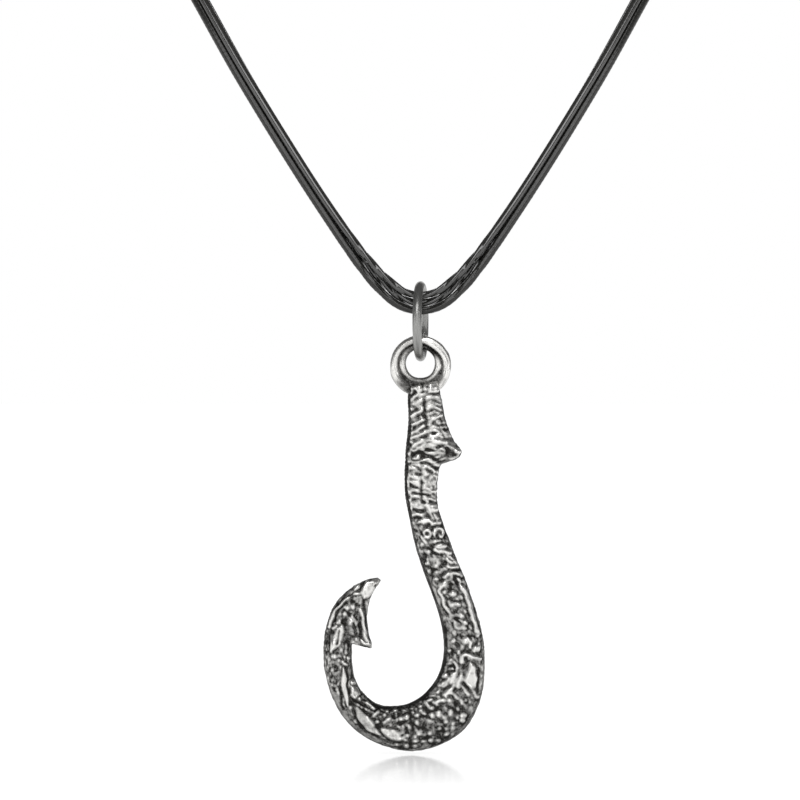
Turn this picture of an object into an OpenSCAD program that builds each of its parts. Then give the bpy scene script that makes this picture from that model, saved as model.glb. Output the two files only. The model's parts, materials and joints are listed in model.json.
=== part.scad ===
// Fish-hook pendant on a three-strand neck cord, in millimetres.
// X runs across the wearer, Y from front (-) to back (+), Z up.
// The origin is the middle of the clasp, where the necklace lies on the nape.

/* [Hook] */
// Height of the hook, from the top of its eye to the bottom of its bend
hook_h = 50.3; // [42:0.1:60]
// Width of the hook, from the back of the bend to the back of the point
hook_w = 19.4; // [16:0.1:24]
// Thickness of the bend from front to back
limb_t = 4.2; // [3.6:0.1:5]
// Distance from one turn of the cast lashing to the next
lash_pitch = 0.85; // [0.8:0.05:1.3]
// Height of the raised cast relief
relief_h = 0.32; // [0.15:0.01:0.36]
// Lean of the hanging hook
hang_lean = 0; // [-3:0.1:3]

/* [Eye] */
// Outer diameter of the eye
eye_od = 7.4; // [7:0.1:8.4]
// Diameter of the hole in the eye
eye_bore = 3.5; // [3.3:0.1:3.8]
// Height of the hole's middle above the middle of the eye
eye_lift = 0.3; // [0:0.05:0.4]
// Thickness of the eye from front to back
eye_t = 2.8; // [2.4:0.1:3.2]

/* [Jump ring] */
// Outer diameter of the jump ring
ring_od = 9.7; // [9.4:0.1:12]
// Diameter of the jump ring's wire
ring_wire = 1.1; // [0.9:0.05:1.2]
// Turn of the jump ring about the vertical
ring_turn = -6; // [-15:1:15]

/* [Cord] */
// Width of the neck loop, from side to side
loop_w = 117; // [105:1:130]
// Depth of the neck loop, from the clasp to the pendant
loop_d = 105; // [95:1:115]
// Drop of the neck loop, from the clasp to the pendant
loop_drop = 138.2; // [125:0.1:150]
// Diameter of one strand
strand_d = 0.95; // [0.8:0.05:1.1]
// Gap between neighbouring strands
strand_gap = 0.1; // [0.08:0.01:0.15]

/* [Clasp] */
// Length of the barrel clasp
clasp_len = 13; // [11:0.5:16]
// Diameter of the barrel clasp
clasp_d = 4.4; // [4.2:0.1:6]
// Depth of the socket in each end of the clasp
socket_depth = 4; // [3:0.1:4.5]

/* [Hidden] */

// Clearances
ring_play = 0.12;
eye_play = 0.12;
socket_play = 0.25;
socket_end_play = 0.3;
// Straight run of the cord outside the clasp
cord_lead = 1;

// Right half of the cord's route from the clasp to the pendant, as shares of the
// loop's width, depth and drop. The left half mirrors it.
// [out, forward, down]
HALF_ROUTE = [
    [0.188, 0.023, 0.01],
    [0.325, 0.095, 0.045],
    [0.432, 0.21, 0.103],
    [0.496, 0.371, 0.195],
    [0.5, 0.548, 0.322],
    [0.433, 0.69, 0.456],
    [0.333, 0.8, 0.586],
    [0.253, 0.876, 0.695],
    [0.181, 0.933, 0.803],
    [0.101, 0.974, 0.912],
    [0.042, 0.995, 0.98],
];
FRONT = [0, -loop_d, -loop_drop];
route_steps = 3;
strand_sides = 8;

// Places of the strands round the route, in strand pitches:
// [towards the back, upwards] along the neck, then the same in the ring,
// where the strands spread into an upright row
UPPER_STRAND = [[-0.289, 0.5], [-0.24, 0.886]];
LOWER_STRAND = [[-0.289, -0.5], [-0.24, -0.886]];
BACK_STRAND = [[0.577, 0], [0.29, 0]];
spread_reach = 9;
strand_pitch = strand_d + strand_gap;
bundle_r = strand_pitch * norm(UPPER_STRAND[1]) + strand_d / 2;
socket_r = strand_pitch * norm(UPPER_STRAND[0]) + strand_d / 2 + socket_play;

// Jump ring, hung on the spread strands
ring_r = (ring_od - ring_wire) / 2;
ring_hole_r = ring_od / 2 - ring_wire;
ring_z = FRONT.z - ring_hole_r + bundle_r + ring_play;
ring_foot_z = ring_z - ring_r;

// Eye, hung on the foot of the ring, whose wire climbs towards the eye's faces
foot_climb = ring_hole_r - sqrt(ring_hole_r ^ 2 - (eye_t / 2) ^ 2);
eye_z = ring_foot_z + ring_wire / 2 + foot_climb + eye_play - eye_bore / 2 - eye_lift;
eye_band = (eye_od - eye_bore) / 2;
eye_mid_r = (eye_od + eye_bore) / 4;
eye_bead_r = eye_band * 0.17;
eye_rim_r = eye_band * 0.32;
eye_web_t = eye_t * 0.72;

// Sections of the hook from the eye to the point. Each is a rib from the outer
// edge of the curve to the inner edge. The x columns are shares of hook_w from
// the eye's middle, the z columns are shares of the drop from the eye's band to
// the bottom of the bend, and thick is a share of limb_t.
// [outer x, outer z, inner x, inner z, thick]
SECTIONS = [
    [0.126, 0, -0.12, 0, 0.55],
    [0.139, 0.03, -0.092, 0.03, 0.72],
    [0.156, 0.08, -0.084, 0.08, 0.78],
    [0.184, 0.115, -0.09, 0.12, 0.8],
    [0.21, 0.14, -0.098, 0.15, 0.82],
    [0.246, 0.162, -0.102, 0.17, 0.84],
    [0.262, 0.177, -0.103, 0.184, 0.84],
    [0.229, 0.195, -0.104, 0.194, 0.82],
    [0.165, 0.205, -0.104, 0.203, 0.78],
    [0.127, 0.212, -0.106, 0.212, 0.75],
    [0.112, 0.242, -0.109, 0.242, 0.75],
    [0.105, 0.29, -0.104, 0.297, 0.76],
    [0.121, 0.34, -0.079, 0.357, 0.78],
    [0.173, 0.407, -0.044, 0.43, 0.82],
    [0.232, 0.473, 0.005, 0.499, 0.86],
    [0.3, 0.547, 0.058, 0.562, 0.9],
    [0.354, 0.62, 0.106, 0.624, 0.93],
    [0.393, 0.69, 0.132, 0.684, 0.96],
    [0.401, 0.755, 0.132, 0.739, 1],
    [0.392, 0.822, 0.101, 0.788, 1],
    [0.349, 0.887, 0.037, 0.828, 1],
    [0.262, 0.944, -0.029, 0.852, 1],
    [0.11, 0.984, -0.101, 0.866, 1],
    [-0.064, 0.999, -0.168, 0.869, 1],
    [-0.228, 0.984, -0.234, 0.868, 0.98],
    [-0.374, 0.952, -0.307, 0.855, 0.95],
    [-0.487, 0.902, -0.368, 0.83, 0.92],
    [-0.559, 0.841, -0.409, 0.794, 0.88],
    [-0.598, 0.777, -0.421, 0.757, 0.85],
    [-0.607, 0.728, -0.423, 0.725, 0.82],
    [-0.604, 0.698, -0.41, 0.698, 0.8],
    [-0.597, 0.673, -0.304, 0.715, 0.76],
    [-0.584, 0.646, -0.319, 0.669, 0.72],
    [-0.553, 0.607, -0.33, 0.625, 0.66],
    [-0.499, 0.573, -0.316, 0.587, 0.58],
    [-0.419, 0.544, -0.291, 0.56, 0.48],
    [-0.332, 0.525, -0.262, 0.539, 0.36],
    [-0.266, 0.52, -0.246, 0.528, 0.2],
];
section_sides = 24;
section_squareness = 0.86;
last_section = len(SECTIONS) - 1;
hook_drop = hook_h - eye_od / 2 - eye_mid_r;

// Point between b and c on a smooth curve through a, b, c and d
function curve(a, b, c, d, t) =
    (2 * b + (c - a) * t + (2 * a - 5 * b + 4 * c - d) * t ^ 2
    + (3 * b - a - 3 * c + d) * t ^ 3) / 2;
function at(list, i) = list[min(max(i, 0), len(list) - 1)];
function along(list, u) =
    let (i = min(floor(u), len(list) - 2))
    curve(at(list, i - 1), list[i], list[i + 1], at(list, i + 2), u - i);
function unit(v) = v / norm(v);
function swell(x) = exp(-x * x);
function between(x, low, high) = min(max((x - low) / (high - low), 0), 1);
function window(x, low, high, soft) = between(x, low - soft, low) - between(x, high, high + soft);
function ridges(x) = pow(abs(sin(180 * x)), ridge_sharpness);

// Closed skin over rings of points, one ring after another
module skin(rings) {
    n = len(rings[0]);
    m = len(rings);
    sides = [
        for (j = [0:m - 2], k = [0:n - 1])
            let (a = j * n + k, b = j * n + (k + 1) % n)
            each [[a, b, b + n], [a, b + n, a + n]]
    ];
    first_cap = [for (k = [1:n - 2]) [0, k + 1, k]];
    last_cap = [for (k = [1:n - 2]) [(m - 1) * n, (m - 1) * n + k, (m - 1) * n + k + 1]];
    polyhedron([for (r = rings) each r], concat(sides, first_cap, last_cap));
}

// The cord's route, from the socket at the clasp's right end round the front
// to the socket at its left end
cord_end_x = clasp_len / 2 - socket_depth + socket_end_play;
cord_mouth_x = clasp_len / 2 + cord_lead;
function mirrored(p) = [-p.x, p.y, p.z];
RIGHT_ROUTE = concat(
    [[cord_end_x, 0, 0], [cord_mouth_x, 0, 0]],
    [for (p = HALF_ROUTE) [p.x * loop_w, -p.y * loop_d, -p.z * loop_drop]]
);
ROUTE = concat(
    RIGHT_ROUTE,
    [FRONT],
    [for (i = [len(RIGHT_ROUTE) - 1:-1:0]) mirrored(RIGHT_ROUTE[i])]
);
route_end = len(ROUTE) - 1;
route_tip = 0.01;
function route_way(u) =
    unit(along(ROUTE, min(u + route_tip, route_end)) - along(ROUTE, max(u - route_tip, 0)));
function strand_ring(places, u) =
    let (
        p = along(ROUTE, u),
        way = route_way(u),
        up = unit([0, 0, 1] - way.z * way),
        back = cross(way, up),
        spread = swell(norm(p - FRONT) / spread_reach),
        place = strand_pitch * (places[0] * (1 - spread) + places[1] * spread),
        middle = p + place[0] * back + place[1] * up
    )
    [
        for (k = [0:strand_sides - 1])
            let (a = 360 * k / strand_sides)
            middle + strand_d / 2 * (cos(a) * back + sin(a) * up)
    ];
module strand(places) {
    skin([for (i = [0:route_end * route_steps]) strand_ring(places, i / route_steps)]);
}

// Hook sections in millimetres, with the eye's middle at the origin
function outer_edge(r) = [r[0] * hook_w, 0, -eye_mid_r - r[1] * hook_drop];
function inner_edge(r) = [r[2] * hook_w, 0, -eye_mid_r - r[3] * hook_drop];
function rib_middle(u) = let (r = along(SECTIONS, u)) (outer_edge(r) + inner_edge(r)) / 2;

// Slices: close together where the lashing is, wider apart elsewhere
LASHED = [1, 12];
plain_slice = 0.52;
function slice_step(i) = i >= LASHED[0] && i < LASHED[1] ? lash_pitch / 4 : plain_slice;
function step_run(u, v) = norm(rib_middle(v) - rib_middle(u));
SLICES = concat(
    [
        for (i = [0:last_section - 1])
            let (cuts = max(1, round(step_run(i, i + 1) / slice_step(i))))
            for (k = [0:cuts - 1]) i + k / cuts
    ],
    [last_section]
);
last_slice = len(SLICES) - 1;
RUNS = [
    for (
        j = 0, run = 0;
        j <= last_slice;
        run = run + (j < last_slice ? step_run(SLICES[j], SLICES[j + 1]) : 0), j = j + 1
    )
        run
];

// Relief of each stretch of the hook. The stretches are given in sections.
// [from, to, relief]
STRETCHES = [
    [1.2, 6.6, "upper lashing"],
    [9.2, 13, "lower lashing"],
    [13.4, 15.4, "plait"],
    [15.9, 18.2, "rimmed beads"],
    [20.6, 23.6, "beads"],
    [24, 30, "rims"],
    [30.6, 35.4, "rimmed beads"],
    [36, 38, "polish"],
];
// Raised smooth leaves, lengths in sections and widths in half-widths of the limb.
// [section, place across, half-length, half-width]
LEAVES = [
    [19.6, 0.55, 0.7, 0.3],
    [24.7, 0.3, 0.9, 0.42],
    [26.5, 0.25, 0.9, 0.42],
    [28.1, 0, 0.8, 0.36],
    [29.9, 0.15, 0.8, 0.4],
];
// Raised scrolls, ridges curled round a middle.
// [section, place across, radius in sections]
SCROLLS = [
    [19.5, 0.6, 1.15],
    [19.2, -0.6, 0.75],
];
// Two crossed sets of slanting strands, which make a plait.
// [height, slant, pitch in lashing turns]
PLAIT = [
    [0.6, 1.4, 2],
    [0.4, -1.9, 2.6],
];
// Slant of the lashing's turns, in turns, at the inner and the outer edge
UPPER_SLANT = [-1.4, 0.6];
LOWER_SLANT = [0.2, 0.7];
seam_place = -0.05;
seam_depth = 0.7;
seam_spread = 0.1;
stretch_fade = 0.4;
ridge_sharpness = 0.8;
bead_pitch = 1.5;
beads_across = 1.6;
bead_height = 0.85;
rim_place = 0.86;
rim_spread = 0.16;
rim_height = 0.9;
leaf_flat = 0.8;
leaf_edge = 1.1;
scroll_squeeze = 2.4;
scroll_spread = 0.32;
collar_section = 7;
collar_slant = 0.5;
collar_spread = 0.35;

// The relief runs from 0 in a groove to 1 on a crest. u counts sections, run is
// the way along the hook in millimetres, and across goes from -1 at the inner
// edge to 1 at the outer edge.
function turns(run, across, slant) =
    ridges(run / lash_pitch + abs(across) * (across < seam_place ? slant[0] : slant[1]))
    * (1 - seam_depth * swell((across - seam_place) / seam_spread));
function plait(run, across) =
    [for (r = PLAIT) r[0] * ridges((run + across * r[1]) / (lash_pitch * r[2]))] * [1, 1];
function beads(run, across) =
    ridges(run / bead_pitch) * ridges(across * beads_across + (floor(run / bead_pitch) % 2) / 2);
function rims(across) = swell((abs(across) - rim_place) / rim_spread);
function stretch(relief, run, across) =
    relief == "upper lashing" ? turns(run, across, UPPER_SLANT)
    : relief == "lower lashing" ? turns(run, across, LOWER_SLANT)
    : relief == "plait" ? plait(run, across)
    : relief == "rimmed beads" ? max(rims(across), bead_height * beads(run, across))
    : relief == "beads" ? beads(run, across)
    : relief == "rims" ? rim_height * rims(across)
    : 1;
function leaf(r, u, across) =
    1 - between(norm([(u - r[0]) / r[2], (across - r[1]) / r[3]]), leaf_flat, leaf_edge);
function scroll(r, u, across) =
    swell((norm([u - r[0], (across - r[1]) * scroll_squeeze]) - r[2]) / scroll_spread);
collar_run = step_run(0, collar_section);
function relief(u, run, across) =
    max(concat(
        [for (s = STRETCHES) window(u, s[0], s[1], stretch_fade) * stretch(s[2], run, across)],
        [for (r = LEAVES) leaf(r, u, across)],
        [for (r = SCROLLS) scroll(r, u, across)],
        [swell((run - collar_run - collar_slant * across) / collar_spread)]
    ));

// The relief fades out into the eye over the first sections and at the point
eye_fade = [0.2, 1.4];
point_fade = 2;
function rounded(x) = sign(x) * pow(abs(x), section_squareness);
function hook_ring(j) =
    let (
        u = SLICES[j],
        r = along(SECTIONS, u),
        middle = (outer_edge(r) + inner_edge(r)) / 2,
        half = (outer_edge(r) - inner_edge(r)) / 2,
        side = unit(half),
        plain_end = min(between(u, eye_fade[0], eye_fade[1]), between(last_section - u, 0, point_fade))
    )
    [
        for (k = [0:section_sides - 1])
            let (
                a = 360 * (k + 0.5) / section_sides,
                h = relief_h * plain_end * (relief(u, RUNS[j], cos(a)) - 0.5)
            )
            middle + rounded(cos(a)) * half + h * cos(a) * side
                + [0, rounded(sin(a)) * r[4] * limb_t / 2 + h * sin(a), 0]
    ];

// Profile of a rounded band round the Y axis
module band_profile(at_r, half_width, round_r) {
    for (s = [-1, 1]) translate([at_r, s * (half_width - round_r)]) circle(round_r, $fn = 32);
    translate([at_r - round_r, -half_width + round_r]) square([2 * round_r, 2 * (half_width - round_r)]);
}
module band(r, t, round_r) {
    rotate_extrude($fn = 64) band_profile(r, t / 2, round_r);
}

// Eye with a rounded outer rim and a thin web, and in it a hole with a bead
// round it, a little above the middle
module eye() {
    rim_r = eye_od / 2 - eye_rim_r;
    bead_r = eye_bore / 2 + eye_bead_r;
    rotate([90, 0, 0]) {
        difference() {
            union() {
                band(rim_r, eye_t, eye_rim_r);
                cylinder(h = eye_web_t, r = rim_r, center = true, $fn = 64);
            }
            translate([0, eye_lift, 0]) cylinder(h = eye_t, r = bead_r, center = true, $fn = 64);
        }
        translate([0, eye_lift, 0]) band(bead_r, eye_t - eye_bead_r, eye_bead_r);
    }
}

module hook() {
    color("#8c8c8a")
    translate([0, FRONT.y, ring_foot_z]) rotate([0, hang_lean, 0]) translate([0, 0, eye_z - ring_foot_z]) {
        eye();
        skin([for (j = [0:len(SLICES) - 1]) hook_ring(j)]);
    }
}

module jump_ring() {
    color("#5e5e5c")
    translate([0, FRONT.y, ring_z]) rotate([0, 90, ring_turn])
        rotate_extrude($fn = 64) translate([ring_r, 0]) circle(d = ring_wire, $fn = 32);
}

module strand_upper() { color("#22221f") strand(UPPER_STRAND); }
module strand_lower() { color("#2b2b28") strand(LOWER_STRAND); }
module strand_back() { color("#1c1c1a") strand(BACK_STRAND); }

module clasp() {
    color("#6a6a68")
    rotate([0, 90, 0]) difference() {
        cylinder(h = clasp_len, d = clasp_d, center = true, $fn = 48);
        for (s = [-1, 1])
            translate([0, 0, s * (clasp_len - socket_depth) / 2])
                cylinder(h = socket_depth + 0.01, r = socket_r, center = true, $fn = 48);
    }
}

hook();
jump_ring();
strand_upper();
strand_lower();
strand_back();
clasp();
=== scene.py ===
import json
import math

import bpy
import numpy as np
from mathutils import Matrix, Vector


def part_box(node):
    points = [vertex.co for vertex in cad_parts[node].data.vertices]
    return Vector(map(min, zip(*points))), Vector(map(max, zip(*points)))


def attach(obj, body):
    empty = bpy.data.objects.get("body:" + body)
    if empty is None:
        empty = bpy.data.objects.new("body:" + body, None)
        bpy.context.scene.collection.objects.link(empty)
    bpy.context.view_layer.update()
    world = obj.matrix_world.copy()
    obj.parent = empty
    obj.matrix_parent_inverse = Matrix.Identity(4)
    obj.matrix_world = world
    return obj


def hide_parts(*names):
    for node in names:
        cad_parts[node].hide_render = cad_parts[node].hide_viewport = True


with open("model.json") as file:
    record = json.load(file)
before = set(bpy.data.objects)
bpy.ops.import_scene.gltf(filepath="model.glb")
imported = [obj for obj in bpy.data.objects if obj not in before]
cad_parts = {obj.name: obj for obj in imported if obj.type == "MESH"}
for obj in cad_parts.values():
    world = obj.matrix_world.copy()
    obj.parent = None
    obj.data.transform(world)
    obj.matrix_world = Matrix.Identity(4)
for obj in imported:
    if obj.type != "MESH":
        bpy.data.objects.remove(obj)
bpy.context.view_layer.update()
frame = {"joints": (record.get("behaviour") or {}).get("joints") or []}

bl_info = {
    "name": "Fish-hook Pendant",
    "version": (1, 0, 0),
    "blender": (4, 5, 0),
    "location": "View3D > Sidebar > Pendant",
    "description": "Cast fish hook, jump ring, waxed cord and clasp with their finishes",
    "category": "Add Mesh",
}

MM = 0.001
JOINTS = {joint["name"]: Vector(joint["pos_m"]) / MM for joint in frame["joints"]}
# Middle of the cord in the ring, and middle of the ring's wire where the hook hangs
FRONT = JOINTS["ring_swing"]
RING_FOOT = JOINTS["hook_swing"]


# Hook outline, in shares: x of the hook's width, z of its drop, thick of its thickness
# [outer x, outer z, inner x, inner z, thick]
SECTIONS = [
    [0.115, -0.024, -0.075, -0.024, 0.66],
    [0.137, 0.03, -0.089, 0.03, 0.74],
    [0.156, 0.08, -0.084, 0.08, 0.78],
    [0.184, 0.115, -0.09, 0.12, 0.8],
    [0.21, 0.14, -0.098, 0.15, 0.82],
    [0.246, 0.162, -0.102, 0.17, 0.84],
    [0.262, 0.177, -0.103, 0.184, 0.84],
    [0.229, 0.195, -0.104, 0.194, 0.82],
    [0.165, 0.205, -0.104, 0.203, 0.78],
    [0.127, 0.212, -0.106, 0.212, 0.75],
    [0.112, 0.242, -0.109, 0.242, 0.75],
    [0.105, 0.29, -0.104, 0.297, 0.76],
    [0.121, 0.34, -0.079, 0.357, 0.78],
    [0.173, 0.407, -0.044, 0.43, 0.82],
    [0.232, 0.473, 0.005, 0.499, 0.86],
    [0.3, 0.547, 0.058, 0.562, 0.9],
    [0.354, 0.62, 0.106, 0.624, 0.93],
    [0.393, 0.69, 0.132, 0.684, 0.96],
    [0.401, 0.755, 0.132, 0.739, 1],
    [0.392, 0.822, 0.101, 0.788, 1],
    [0.349, 0.887, 0.037, 0.828, 1],
    [0.262, 0.944, -0.029, 0.852, 1],
    [0.11, 0.984, -0.101, 0.866, 1],
    [-0.064, 0.999, -0.168, 0.869, 1],
    [-0.228, 0.984, -0.234, 0.868, 0.98],
    [-0.374, 0.952, -0.307, 0.855, 0.95],
    [-0.487, 0.902, -0.368, 0.83, 0.92],
    [-0.559, 0.841, -0.409, 0.794, 0.88],
    [-0.598, 0.777, -0.421, 0.757, 0.85],
    [-0.607, 0.728, -0.423, 0.725, 0.82],
    [-0.604, 0.698, -0.41, 0.698, 0.8],
    [-0.597, 0.673, -0.304, 0.715, 0.76],
    [-0.584, 0.646, -0.319, 0.669, 0.72],
    [-0.553, 0.607, -0.33, 0.625, 0.66],
    [-0.499, 0.573, -0.316, 0.587, 0.58],
    [-0.419, 0.544, -0.291, 0.56, 0.48],
    [-0.332, 0.525, -0.262, 0.539, 0.36],
    [-0.266, 0.52, -0.246, 0.528, 0.2],
]

# The relief is drawn on a grid of RELIEF_STEP millimetres from the eye's middle,
# [right, up], and runs on round the limb to its back.
RELIEF_STEP = 0.12
# Turns of the lashing and raised strokes
# (half-width, rise, points ...)
LASHING = [
    (1.6, 0.8, (0, -24), (-4, -28), (-9, -33)),
    (2.2, 0.8, (6, -32.5), (12, -31), (18, -31)),
    (2.5, 0.8, (-6, -36.5), (1, -33.5)),
    (1.5, 0.7, (6, -39), (12, -36.5), (20, -39)),
    (1.6, 0.9, (7, -42.5), (13, -40.5), (20, -43.5)),
    (1.9, 1, (-9, -50), (-3, -46), (3, -42)),
    (1.4, 0.7, (10, -48), (15, -46), (20, -48)),
    (1.7, 0.9, (12, -53), (16, -51), (21, -49)),
    (1.9, 0.95, (-8, -58.5), (2, -53.5)),
    (1.8, 0.9, (-9, -66.5), (3, -60.5)),
    (2.1, 1, (-8, -72), (5, -66)),
    (2.1, 0.9, (-8, -80), (2, -74.5)),
    (1.6, 0.8, (-7, -86), (5, -78)),
    (1.5, 0.8, (21, -61), (26, -61.5)),
    (1.6, 0.9, (13, -65), (18, -65.5), (22, -72)),
    (2.3, 1, (12, -73), (18, -76), (26, -76)),
    (1.6, 0.7, (31, -77), (36, -79)),
    (1.8, 0.6, (31, -94), (37, -90)),
    (1.9, 0.8, (3, -101.5), (9, -101), (14, -106)),
    (1.7, 0.7, (10, -110.5), (15, -116)),
    (1.6, 0.7, (4, -126), (9, -127.5), (14, -131)),
    (1.7, 0.8, (3, -131.5), (10, -132.5), (15, -135)),
    (1.8, 0.7, (-9, -98), (-1, -101)),
    (1.6, 0.6, (-10, -106), (-3, -106.5)),
    (2, 0.85, (-9, -115.5), (-1, -117.5)),
    (1.8, 0.7, (-9, -123), (-2, -125)),
    (2, 0.85, (-9, -130.5), (-1, -131.5)),
    (1.8, 0.8, (-9, -138), (-3, -139)),
    (1.5, 0.8, (-8, -150), (-3, -148.5), (2, -150)),
    (1.4, 0.6, (7, -146), (11, -149), (14, -153)),
    (1.9, 0.85, (0, -157), (9, -155), (15, -157.5)),
    (1.5, 0.8, (15, -149), (17, -153)),
    (1.3, 0.8, (14, -176.5), (20, -174.5)),
    (1.6, 0.95, (26.5, -193.5), (31.5, -197)),
    (1.6, 0.9, (13, -71), (17, -69.5), (20, -70.5)),
    (1.3, 0.7, (1, -171), (5, -177)),
    (1.8, 0.9, (12, -184), (18, -186), (25, -185), (30, -187)),
    (1.3, 0.6, (12, -190), (16, -194), (18, -199)),
    (1.8, 0.8, (28, -190), (36, -198)),
    (1.8, 0.8, (26, -198), (31, -202), (38, -201)),
    (2, 0.9, (24, -211), (30, -207), (38, -208)),
]
# Ridges of the rims, scrolls and leaves' stems
# (half-width, rise, points ...)
RIDGES = [
    (2.1, 1, (42, -222), (46, -230), (51, -245), (54.5, -258), (56.5, -266)),
    (1.5, 0.8, (19, -226), (22, -234), (24, -241), (29, -247)),
    (1.2, 0.6, (27, -235), (30, -241)),
    (1.4, 0.7, (31, -241), (36, -238)),
    (1.5, 0.8, (19, -225), (25, -217)),
    (1.6, 0.9, (47.5, -274), (51, -277), (50, -282)),
    (1.4, 0.7, (57, -271), (60, -268)),
    (1.8, 1, (41, -297), (42, -291.5), (45, -289), (50, -290.5), (55, -293.5), (60, -294)),
    (1.1, 0.7, (54, -287), (58, -291)),
    (1.3, 0.8, (33, -297), (36, -302), (36, -310), (33, -320), (31, -325)),
    (1.2, 0.6, (34, -290), (37, -296)),
    (1.2, 0.7, (26, -299.5), (30, -299)),
    (1.6, 0.8, (22, -318), (29, -315)),
    (1.6, 0.7, (22, -321), (27, -319)),
    (1.4, 0.7, (34, -329), (37, -333)),
    (1.3, 0.7, (42, -321), (45, -326)),
    (1.3, 0.7, (45, -327), (49, -331)),
    (1.3, 0.6, (52, -325), (56, -331)),
    (1.7, 1, (13, -338), (18, -336), (23, -335)),
    (1.5, 0.7, (4, -336), (8, -341)),
    (1.3, 0.7, (-5, -365), (-2, -370), (1, -366)),
    (1.5, 0.9, (-54, -338), (-47, -344)),
    (1.2, 0.6, (-48, -337), (-42, -342)),
    (1.5, 0.9, (-53, -353), (-47, -361)),
    (1.4, 0.8, (-47, -351), (-42, -347)),
    (1.3, 0.7, (-37, -358), (-31, -354)),
    (1.3, 0.8, (-79, -297), (-74, -301)),
    (1.2, 0.6, (-88, -309), (-82, -307)),
    (1.3, 1, (-92, -262), (-89, -252), (-84, -244), (-79, -237.5), (-72, -232)),
    (1.5, 0.9, (-60, -245), (-58, -252), (-57, -262), (-56, -270), (-53, -277)),
    (1.3, 0.6, (-65.5, -260), (-63, -257)),
    (1.4, 0.8, (-88, -263), (-84, -261)),
    (1.3, 0.9, (-67, -229), (-62, -229)),
]
# Leaves and crescents, which taper to both ends
# (half-width, rise, points ...)
LEAVES = [
    (2.6, 0.9, (14, -181), (26, -180)),
    (2.3, 0.9, (42, -307), (39, -315), (36, -324)),
    (2.7, 0.9, (-78, -303), (-76, -322), (-73, -341)),
    (5, 1, (-78, -260), (-85, -275), (-89, -287)),
    (5.4, 0.62, (-64, -343), (-60, -352), (-52, -363), (-41, -370)),
    (4.6, 0.78, (-41, -364), (-32, -369), (-21, -372.5), (-12, -366.5)),
]
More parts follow.
